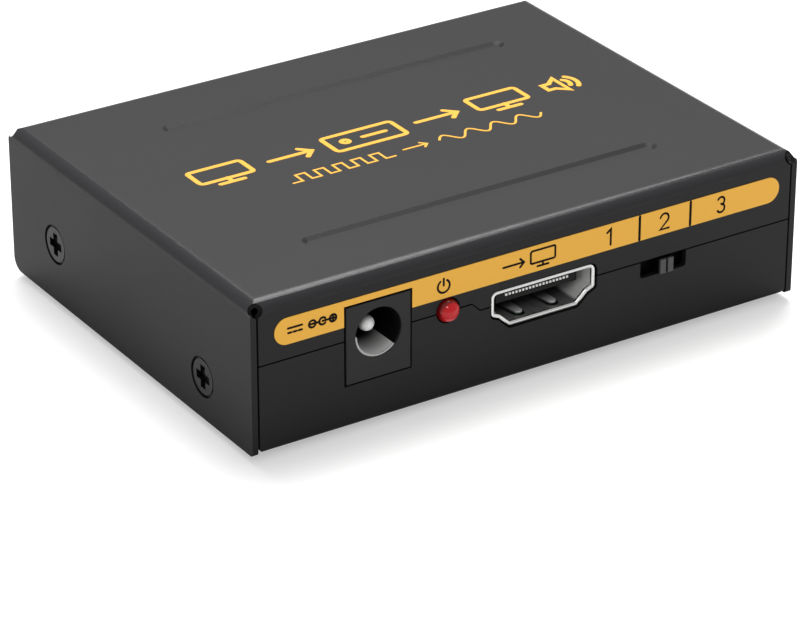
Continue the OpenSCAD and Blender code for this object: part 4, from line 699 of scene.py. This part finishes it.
def lamp_material(name, deep, reflection_colour, x, z):
    """Diffusing epoxy dome with painted light: painted shade at its rim, deep in its middle, a painted
    reflection low down inside.

    The distance from the dome's axis, moved down by LAMP_DROP, and the height over
    that point each run through a soft step, and their product blends the deep colour
    into the paler colour of the painted reflection. A last step of the distance
    darkens the rim as painted shade. The steps are LAMP_STEPS.
    """
    material = finish(
        name, deep, 0.12, drift=(0.06, 300), gloss=(0.03, 400),
        Specular_IOR_Level=0.1, Coat_Weight=0.7, Coat_Roughness=0.03,
    )
    tree, link, principled, tone = nodes_of(material)
    place = add_node(tree, "ShaderNodeTexCoord")
    middle = (-x * MM, 0, -(z - LAMP_DROP) * MM)
    from_axis = add_node(tree, "ShaderNodeMapping", {"Location": middle, "Scale": (1, 0, 1)})
    distance = add_node(tree, "ShaderNodeVectorMath", operation="LENGTH")
    axes = add_node(tree, "ShaderNodeSeparateXYZ")
    inner, lower, rim = (
        add_node(tree, "ShaderNodeMapRange", LAMP_STEPS[step], interpolation_type="SMOOTHSTEP")
        for step in ("inner", "lower", "rim")
    )
    both = add_node(tree, "ShaderNodeMath", operation="MULTIPLY")
    # Painted reflection: a paler colour low down inside the dome.
    blend = add_node(tree, "ShaderNodeMix", {"B": (*reflection_colour, 1)}, data_type="RGBA")
    link(place.outputs["Object"], from_axis.inputs["Vector"])
    link(from_axis.outputs["Vector"], distance.inputs[0])
    link(from_axis.outputs["Vector"], axes.inputs[0])
    link(distance.outputs["Value"], inner.inputs["Value"])
    link(axes.outputs["Z"], lower.inputs["Value"])
    link(distance.outputs["Value"], rim.inputs["Value"])
    link(inner.outputs["Result"], both.inputs[0])
    link(lower.outputs["Result"], both.inputs[1])
    link(both.outputs[0], blend.inputs["Factor"])
    link(tone, blend.inputs["A"])
    link(blend.outputs["Result"], principled.inputs["Base Color"])
    # Painted shade: the colour darkens towards the rim.
    set_value(material, rim.outputs["Result"])
    return material


power_lens_low, power_lens_high = (np.array(corner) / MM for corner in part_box("power_led_lens"))
status_lens_low, status_lens_high = (np.array(corner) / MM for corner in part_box("status_led_lens"))
LED_RADIUS = 1.55
LED_PROUD = FRONT_Y - power_lens_low[1]
LED_BACK = power_lens_high[1] - FRONT_Y
LED_RISE = (power_lens_low[2] + power_lens_high[2]) / 2
POWER_LED_X = power_lens_high[0] - LED_RADIUS
STATUS_LED_X = status_lens_low[0] + LED_RADIUS

SATIN_LINES = (120, 2600, 900, 0.002)
SHELL_LINES = (90, 1800, 2400, 0.002)

FINISHES = {
    "case_paint": paint_material(),
    "screw_black": finish("black_zinc", srgb(30, 30, 31), 0.3, grain=(2600, 0.006), Metallic=0.6),
    "plated_steel": finish("zinc_plate", (0.55, 0.55, 0.54), 0.32, lines=(60, 3000, 3000, 0.004), Metallic=1),
    "foot_rubber": finish("foot_rubber", srgb(38, 38, 38), 0.8, grain=(1500, 0.02)),
    "band_gold": finish(
        "gold_print", srgb(246, 186, 76), 0.42, drift=(0.05, 60), gloss=(0.05, 200), grain=(4200, 0.003),
        Specular_IOR_Level=0.15,
    ),
    "board_green": board_material(),
    "moulded_black": finish(
        "moulded_black", srgb(48, 48, 49), 0.5, grain=(3000, 0.006), Specular_IOR_Level=0.2
    ),
    "insulator_black": finish(
        "insulator_black", srgb(16, 16, 16), 0.45, grain=(2600, 0.006), Specular_IOR_Level=0.2
    ),
    "tinned": finish("tinned_metal", (0.74, 0.74, 0.72), 0.18, lines=SATIN_LINES, Metallic=1),
    "socket_shell": finish("nickel_shell", (0.8, 0.8, 0.79), 0.2, lines=SHELL_LINES, Metallic=1),
    # The second colour of each dome is its painted reflection.
    "red_lens": lamp_material(
        "red_dome", (0.56, 0.001, 0.006), (0.78, 0.13, 0.14), POWER_LED_X, LED_RISE
    ),
    "green_lens": lamp_material(
        "green_dome", (0.004, 0.2, 0.012), (0.2, 0.56, 0.22), STATUS_LED_X, LED_RISE
    ),
    "base_brown": finish("pressed_resin", (0.07, 0.035, 0.02), 0.6, grain=(1800, 0.02)),
    "phono_white": finish("white_insulator", (0.86, 0.86, 0.85), 0.3, drift=(0.03, 90), grain=(2400, 0.003)),
    "phono_red": finish("red_insulator", (0.84, 0.04, 0.012), 0.3, drift=(0.05, 90), grain=(2400, 0.003)),
    "chip_epoxy": finish("chip_epoxy", srgb(44, 44, 45), 0.6, grain=(2200, 0.01)),
    "can_aluminium": finish(
        "can_aluminium", (0.72, 0.72, 0.73), 0.3, lines=(2500, 2500, 80, 0.003), Metallic=1
    ),
    "ferrite": finish("ferrite", srgb(62, 62, 66), 0.7, grain=(1600, 0.02)),
    "ceramic_tan": finish("ceramic_tan", (0.3, 0.19, 0.1), 0.5, grain=(2600, 0.006)),
}
MARK_BLACK = finish(
    "mark_black", srgb(12, 8, 8), 0.6, drift=(0.1, 300), grain=(4000, 0.002), Specular_IOR_Level=0.1
)
MARK_GOLD = finish(
    "mark_gold", srgb(232, 172, 66), 0.4, drift=(0.06, 200), grain=(4200, 0.003), Specular_IOR_Level=0.15
)

VIDEO_H = 5.0
VIDEO_WALL = 0.3
SPRING_RISE = 0.35
FLOOR_RISE = 0.1


def front_of(node):
    """The Y of a node's front, in millimetres."""
    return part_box(node)[0].y / MM


def shell_material(node, face_y, inwards):
    """Satin nickel with painted shade: black deep inside the socket, and darker on its floor than on its
    springs.

    The floor's height is the top of the shell's box less the height of the mouth's
    outline, plus one wall.
    """
    metal = finish("satin_" + node, (0.96, 0.96, 0.95), 0.4, lines=SHELL_LINES, Metallic=0.45)
    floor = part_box(node)[1].z / MM - VIDEO_H + VIDEO_WALL
    # Painted shade on the floor below the springs.
    painted_shade_along(metal, "Z", floor + SPRING_RISE, floor + FLOOR_RISE, 0.2)
    # Painted shade deeper inside the socket.
    return painted_shade_along(metal, "Y", face_y + 2 * inwards, face_y + 6.5 * inwards, 0.02)


def tin_material(node, run, metallic, tip=1):
    """Satin tin with painted shade: black beyond a run in millimetres, with a share of its colour at its very
    tip.
    """
    tin = finish("tin_" + node, (0.97, 0.97, 0.96), 0.5, lines=SATIN_LINES, Metallic=metallic)
    start = front_of(node)
    painted_shade_along(tin, "Y", start + 0.2, start + 0.05, tip)
    return painted_shade_along(tin, "Y", start + 0.4, start + run, 0.02)


def black_material(name, shade, specular):
    """Moulded black of one screen shade, with its own share of sheen."""
    return finish(name, srgb(shade, shade, shade), 0.5, grain=(3000, 0.006), Specular_IOR_Level=specular)


RING_DEPTHS = (0.5, 0.3)
# Painted reflection: light and dark bands across the barrels, pairs of height and shade.
BARREL_REFLECTION_BANDS = (
    (0.0, 0.5), (0.12, 0.3), (0.24, 0.24), (0.34, 0.78), (0.56, 0.92), (0.66, 0.7),
    (0.72, 0.1), (0.8, 0.07), (0.86, 0.8), (0.94, 0.85), (1.0, 0.16),
)


def barrel_material(node):
    """Bright nickel whose barrel carries a painted reflection: the soft bands of a studio round it.

    The height across the barrel, 0 at its bottom and 1 at its top, runs through
    the painted reflection's bands, pairs of height and shade. The front ring stays plain.
    """
    plate = finish(
        "bright_nickel", (0.9, 0.89, 0.87), 0.24, drift=(0.05, 200), gloss=(0.04, 150), Metallic=0.75
    )
    tree, link, principled, tone = nodes_of(plate)
    low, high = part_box(node)
    axes = object_axes(tree)
    height = add_node(tree, "ShaderNodeMapRange", {"From Min": low.z, "From Max": high.z})
    bands = add_node(tree, "ShaderNodeValToRGB")
    stops = bands.color_ramp.elements
    for stop, (up, shade) in zip(stops, (BARREL_REFLECTION_BANDS[0], BARREL_REFLECTION_BANDS[-1])):
        stop.position, stop.color = up, (shade, shade, shade, 1)
    for up, shade in BARREL_REFLECTION_BANDS[1:-1]:
        stops.new(up).color = (shade, shade, shade, 1)
    ring_start, ring_end = (high.y - depth * MM for depth in RING_DEPTHS)
    ring = add_node(tree, "ShaderNodeMapRange", {"From Min": ring_start, "From Max": ring_end})
    plain = add_node(tree, "ShaderNodeMix", {"B": (1, 1, 1, 1)}, data_type="RGBA")
    shaded = add_node(tree, "ShaderNodeMix", {"Factor": 1}, data_type="RGBA", blend_type="MULTIPLY")
    link(axes.outputs["Z"], height.inputs["Value"])
    link(height.outputs["Result"], bands.inputs["Fac"])
    link(axes.outputs["Y"], ring.inputs["Value"])
    link(ring.outputs["Result"], plain.inputs["Factor"])
    link(bands.outputs["Color"], plain.inputs["A"])
    link(tone, shaded.inputs["A"])
    link(plain.outputs["Result"], shaded.inputs["B"])
    link(shaded.outputs["Result"], principled.inputs["Base Color"])
    return plate


KNOB_FRONT = front_of("switch_knob")
CONTACT_TIN = finish("contact_tin", (0.92, 0.92, 0.9), 0.5, lines=SATIN_LINES, Metallic=0.35)
NODE_FINISHES = {
    "dc_jack_sleeve_contact": tin_material("dc_jack_sleeve_contact", 5, 0.35, tip=0.5),
    "dc_jack_centre_pin": tin_material("dc_jack_centre_pin", 1.3, 0.1),
    "video_in_contacts": CONTACT_TIN,
    "video_out_contacts": CONTACT_TIN,
    "video_in_shell": shell_material("video_in_shell", FRONT_Y, 1),
    "video_out_shell": shell_material("video_out_shell", REAR_Y, -1),
    # Painted shade: the jack's and the optical port's housings darken into their openings, and the knob
    # darkens back into its slot.
    "dc_jack_housing": painted_shade_along(black_material("jack_black", 48, 0.15), "Y", FRONT_Y, FRONT_Y + 0.35, 0.1),
    "optical_housing": painted_shade_along(black_material("optical_black", 40, 0.15), "Y", REAR_Y, REAR_Y - 2, 0.12),
    "switch_knob": painted_shade_along(black_material("knob_black", 92, 0.04), "Y", KNOB_FRONT, KNOB_FRONT + 0.5, 0.02),
    # Near black, darker than moulded plastic: painted shade in the knob's slot.
    "switch_frame": black_material("slot_shade_black", 4, 0.02),
    "phono_white_barrel": barrel_material("phono_white_barrel"),
    "phono_red_barrel": barrel_material("phono_red_barrel"),
}

for part in frame["record"]["subparts"]:
    node = part["node"]
    for material_slot in frame["nodes"][node].material_slots:
        material_slot.material = NODE_FINISHES.get(node) or FINISHES[part["material_slot"]]


# Lamps and rolled edges

FLANGE_RIM, FLANGE_T = 0.3, 1.0
WIRE_RADIUS = 0.2


def dome(x, face_y, outwards, node, name, slot):
    """A domed lamp: quarter circle, straight barrel and a flange at its back.

    The radius is LED_RADIUS times the cosine of the rise and the reach is its sine,
    so the tip stands LED_PROUD out of the face, and the barrel runs back LED_BACK.
    """
    r, proud, back = LED_RADIUS, LED_PROUD, LED_BACK
    a = np.linspace(np.pi / 2 * 0.985, 0, 20)
    cap = np.stack([r * np.cos(a), proud - r + r * np.sin(a)], axis=1)
    rim = r + FLANGE_RIM
    tail = [(r, FLANGE_T - back), (rim, FLANGE_T - back), (rim, -back), (WIRE_RADIUS, -back)]
    shell = turned(np.concatenate([cap, tail]), x, LED_RISE, face_y, outwards)
    piece = make_piece(name, [shell], FINISHES[slot], sharp=50)
    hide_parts(node)


dome(POWER_LED_X, FRONT_Y, -1, "power_led_lens", "power_lamp_dome", "red_lens")
dome(STATUS_LED_X, REAR_Y, 1, "status_led_lens", "status_lamp_dome", "green_lens")

VIDEO_W, VIDEO_BOTTOM_W, VIDEO_SIDE_H = 15.2, 10.0, 3.1
VIDEO_STEP_W, VIDEO_STEP_H = 1.1, 0.48
MOUTH_CORNERS = (0.85, 0.4, 0.5, 0.6)
ROLL_INSET, ROLL_ACROSS, ROLL_ALONG, ROLL_DEPTH = 0.16, 0.27, 0.3, 0.47


def mouth_edge(shell_node, face_y, inwards, name):
    """The bright rolled edge round a video socket's mouth, placed by its shell's box.

    Its loop is the middle of the shell's wall: a wide upper part with upright sides,
    a short shoulder on each side and slanted sides down to the narrow bottom.
    """
    shell_low, shell_high = (np.array(corner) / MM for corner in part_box(shell_node))
    x, z = (shell_low[0] + shell_high[0]) / 2, shell_high[2] - VIDEO_H / 2
    top, half = VIDEO_H / 2, VIDEO_W / 2
    low = top - VIDEO_SIDE_H
    shoulder = (half - VIDEO_STEP_W, low - VIDEO_STEP_H)
    right = [(half, top), (half, low), shoulder, (VIDEO_BOTTOM_W / 2, -top)]
    corners = np.array(right + [(-a, b) for a, b in right[::-1]])
    loop = rounded_corners(corners, MOUTH_CORNERS + MOUTH_CORNERS[::-1])
    loop = loop - outward_normals(loop) * ROLL_INSET + (x, z)
    shell = rolled_edge(loop, ROLL_ACROSS, ROLL_ALONG, face_y + ROLL_DEPTH * inwards)
    make_piece(name, [shell], FINISHES["socket_shell"], sharp=60)


mouth_edge("video_in_shell", FRONT_Y, 1, "video_in_mouth_edge")
mouth_edge("video_out_shell", REAR_Y, -1, "video_out_mouth_edge")


# Printed marks

BAND_STROKE, DIVIDER_STROKE, SIGN_STROKE, WAVE_STROKE = 0.31, 0.4, 0.75, 0.36
DIVIDER_REACH = 1.56
SCREEN, MARK_H, ARROW_HEAD = (3.6, 2.2), 2.1, 0.55
ROOF_SCREEN, ROOF_HEAD = (7.6, 4.9), 1.25

BAND_MARK_Z = (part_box("front_band")[0].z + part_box("front_band")[1].z) / 2 / MM
DIVIDERS = (15.625, 23.375)
print_marks(
    "front_band_marks",
    direct_current_mark(-34.0, BAND_MARK_Z, 1.9)
    + centre_positive_mark(-30.2, BAND_MARK_Z, 0.46)
    + power_mark(-13.2, BAND_MARK_Z - 0.1, 0.85)
    + arrow_mark(-4.6, -1.6, BAND_MARK_Z, ARROW_HEAD)
    + screen_mark(1.2, BAND_MARK_Z, *SCREEN)
    + numeral(1, 11.1, BAND_MARK_Z, MARK_H)
    + numeral(2, 19.4, BAND_MARK_Z, MARK_H)
    + numeral(3, 28.1, BAND_MARK_Z, MARK_H),
    BAND_STROKE, on_front_band, MARK_BLACK,
)
print_marks(
    "front_band_dividers",
    [([(x, BAND_MARK_Z - DIVIDER_REACH), (x, BAND_MARK_Z + DIVIDER_REACH)], False) for x in DIVIDERS],
    DIVIDER_STROKE, on_front_band, MARK_BLACK,
)
REAR_MARK_Z = (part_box("rear_band")[0].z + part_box("rear_band")[1].z) / 2 / MM
print_marks(
    "rear_band_marks",
    screen_mark(-26.4, REAR_MARK_Z, *SCREEN)
    + arrow_mark(-23.4, -20.4, REAR_MARK_Z, ARROW_HEAD)
    + light_mark(-4.6, REAR_MARK_Z, 0.95)
    + speaker_mark(9.0, REAR_MARK_Z, MARK_H)
    + speaker_mark(22.2, REAR_MARK_Z, MARK_H),
    BAND_STROKE, on_rear_band, MARK_BLACK,
)
SIGN_Y = CASE_MIDDLE_Y + 2.85
print_marks(
    "roof_signs",
    screen_mark(-24.3, SIGN_Y, *ROOF_SCREEN)
    + arrow_mark(-17.6, -11.4, SIGN_Y, ROOF_HEAD)
    + box_mark(-3.6, SIGN_Y, 10.4, 4.4)
    + arrow_mark(4.2, 10.4, SIGN_Y, ROOF_HEAD)
    + screen_mark(17.0, SIGN_Y, *ROOF_SCREEN)
    + speaker_mark(26.3, SIGN_Y, ROOF_SCREEN[1]),
    SIGN_STROKE, on_roof, MARK_GOLD,
)
WAVE_Y = CASE_MIDDLE_Y - 3.25
print_marks(
    "roof_waves",
    pulse_train(-18.3, -3.4, WAVE_Y, 1.9, 11)
    + arrow_mark(-1.6, 1.9, WAVE_Y, 0.7)
    + sine_wave(3.8, 19.3, WAVE_Y, 1.9, 4),
    WAVE_STROKE, on_roof, MARK_GOLD,
)


# Floor, lamps and camera

FLOOR_SHADE, FLOOR_GLOW = 0.62, 0.42
CAMERA_LENS = 175.16
CAMERA_TURN, CAMERA_RISE = 32.779, 27.269
CAMERA_PLACE = (-242.15, CASE_MIDDLE_Y - 375.98, FOOT_HEIGHT + 224.73)


def floor_material():
    """Pale floor whose lit part reaches white for the camera alone, and keeps the shadow."""
    material = bpy.data.materials.new("pale_floor")
    material.use_nodes = True
    tree = material.node_tree
    tree.nodes.clear()
    diffuse = add_node(tree, "ShaderNodeBsdfDiffuse", {"Color": (FLOOR_SHADE, FLOOR_SHADE, FLOOR_SHADE, 1)})
    glow = add_node(tree, "ShaderNodeEmission", {"Color": (1, 1, 1, 1)})
    path = add_node(tree, "ShaderNodeLightPath")
    level = add_node(tree, "ShaderNodeMath", {1: FLOOR_GLOW}, operation="MULTIPLY")
    both = add_node(tree, "ShaderNodeAddShader")
    output = add_node(tree, "ShaderNodeOutputMaterial")
    link = tree.links.new
    link(path.outputs["Is Camera Ray"], level.inputs[0])
    link(level.outputs[0], glow.inputs["Strength"])
    link(diffuse.outputs[0], both.inputs[0])
    link(glow.outputs[0], both.inputs[1])
    link(both.outputs[0], output.inputs["Surface"])
    return material


def add_floor():
    """A flat square two metres wide under the feet."""
    mesh = bpy.data.meshes.new("floor")
    mesh.from_pydata([(-1, -1, 0), (1, -1, 0), (1, 1, 0), (-1, 1, 0)], [], [(0, 1, 2, 3)])
    mesh.materials.append(floor_material())
    floor = bpy.data.objects.new("floor", mesh)
    bpy.context.scene.collection.objects.link(floor)


def add_world(level):
    """White surroundings: they light the box at one level, and the camera sees them at full white."""
    world = bpy.data.worlds.new("studio")
    bpy.context.scene.world = world
    world.use_nodes = True
    tree = world.node_tree
    background = tree.nodes["Background"]
    background.inputs["Color"].default_value = (1, 1, 1, 1)
    path = add_node(tree, "ShaderNodeLightPath")
    strength = add_node(tree, "ShaderNodeMapRange", {"To Min": level, "To Max": 1})
    tree.links.new(path.outputs["Is Camera Ray"], strength.inputs["Value"])
    tree.links.new(strength.outputs["Result"], background.inputs["Strength"])


def add_lamp(name, place, aim, size, power):
    """A square softbox at place, turned to aim, both in metres."""
    data = bpy.data.lights.new(name, "AREA")
    data.size, data.energy = size, power
    lamp = bpy.data.objects.new(name, data)
    lamp.location = place
    direction = np.array(aim) - np.array(place)
    turn = math.atan2(direction[1], direction[0]) - math.pi / 2
    lamp.rotation_euler = (math.acos(-direction[2] / np.linalg.norm(direction)), 0, turn)
    bpy.context.scene.collection.objects.link(lamp)


def add_camera():
    """The photograph's viewpoint: CAMERA_TURN degrees round to the left, CAMERA_RISE up."""
    data = bpy.data.cameras.new("camera")
    data.sensor_width, data.lens = 36, CAMERA_LENS
    data.clip_start, data.clip_end = 0.01, 20
    camera = bpy.data.objects.new("camera", data)
    camera.location = np.array(CAMERA_PLACE) * MM
    camera.rotation_euler = (math.radians(90 - CAMERA_RISE), 0, math.radians(-CAMERA_TURN))
    bpy.context.scene.collection.objects.link(camera)
    bpy.context.scene.camera = camera


add_floor()
add_world(0.56)
add_lamp("softbox_back", (0.24, 0.38, 0.94), (0, 0, 0), 0.7, 16.0)
add_lamp("small_front", (-0.32, -0.56, 0.62), (0, 0, 0), 0.13, 0.7)
add_camera()
bpy.context.scene.view_settings.view_transform = "Standard"
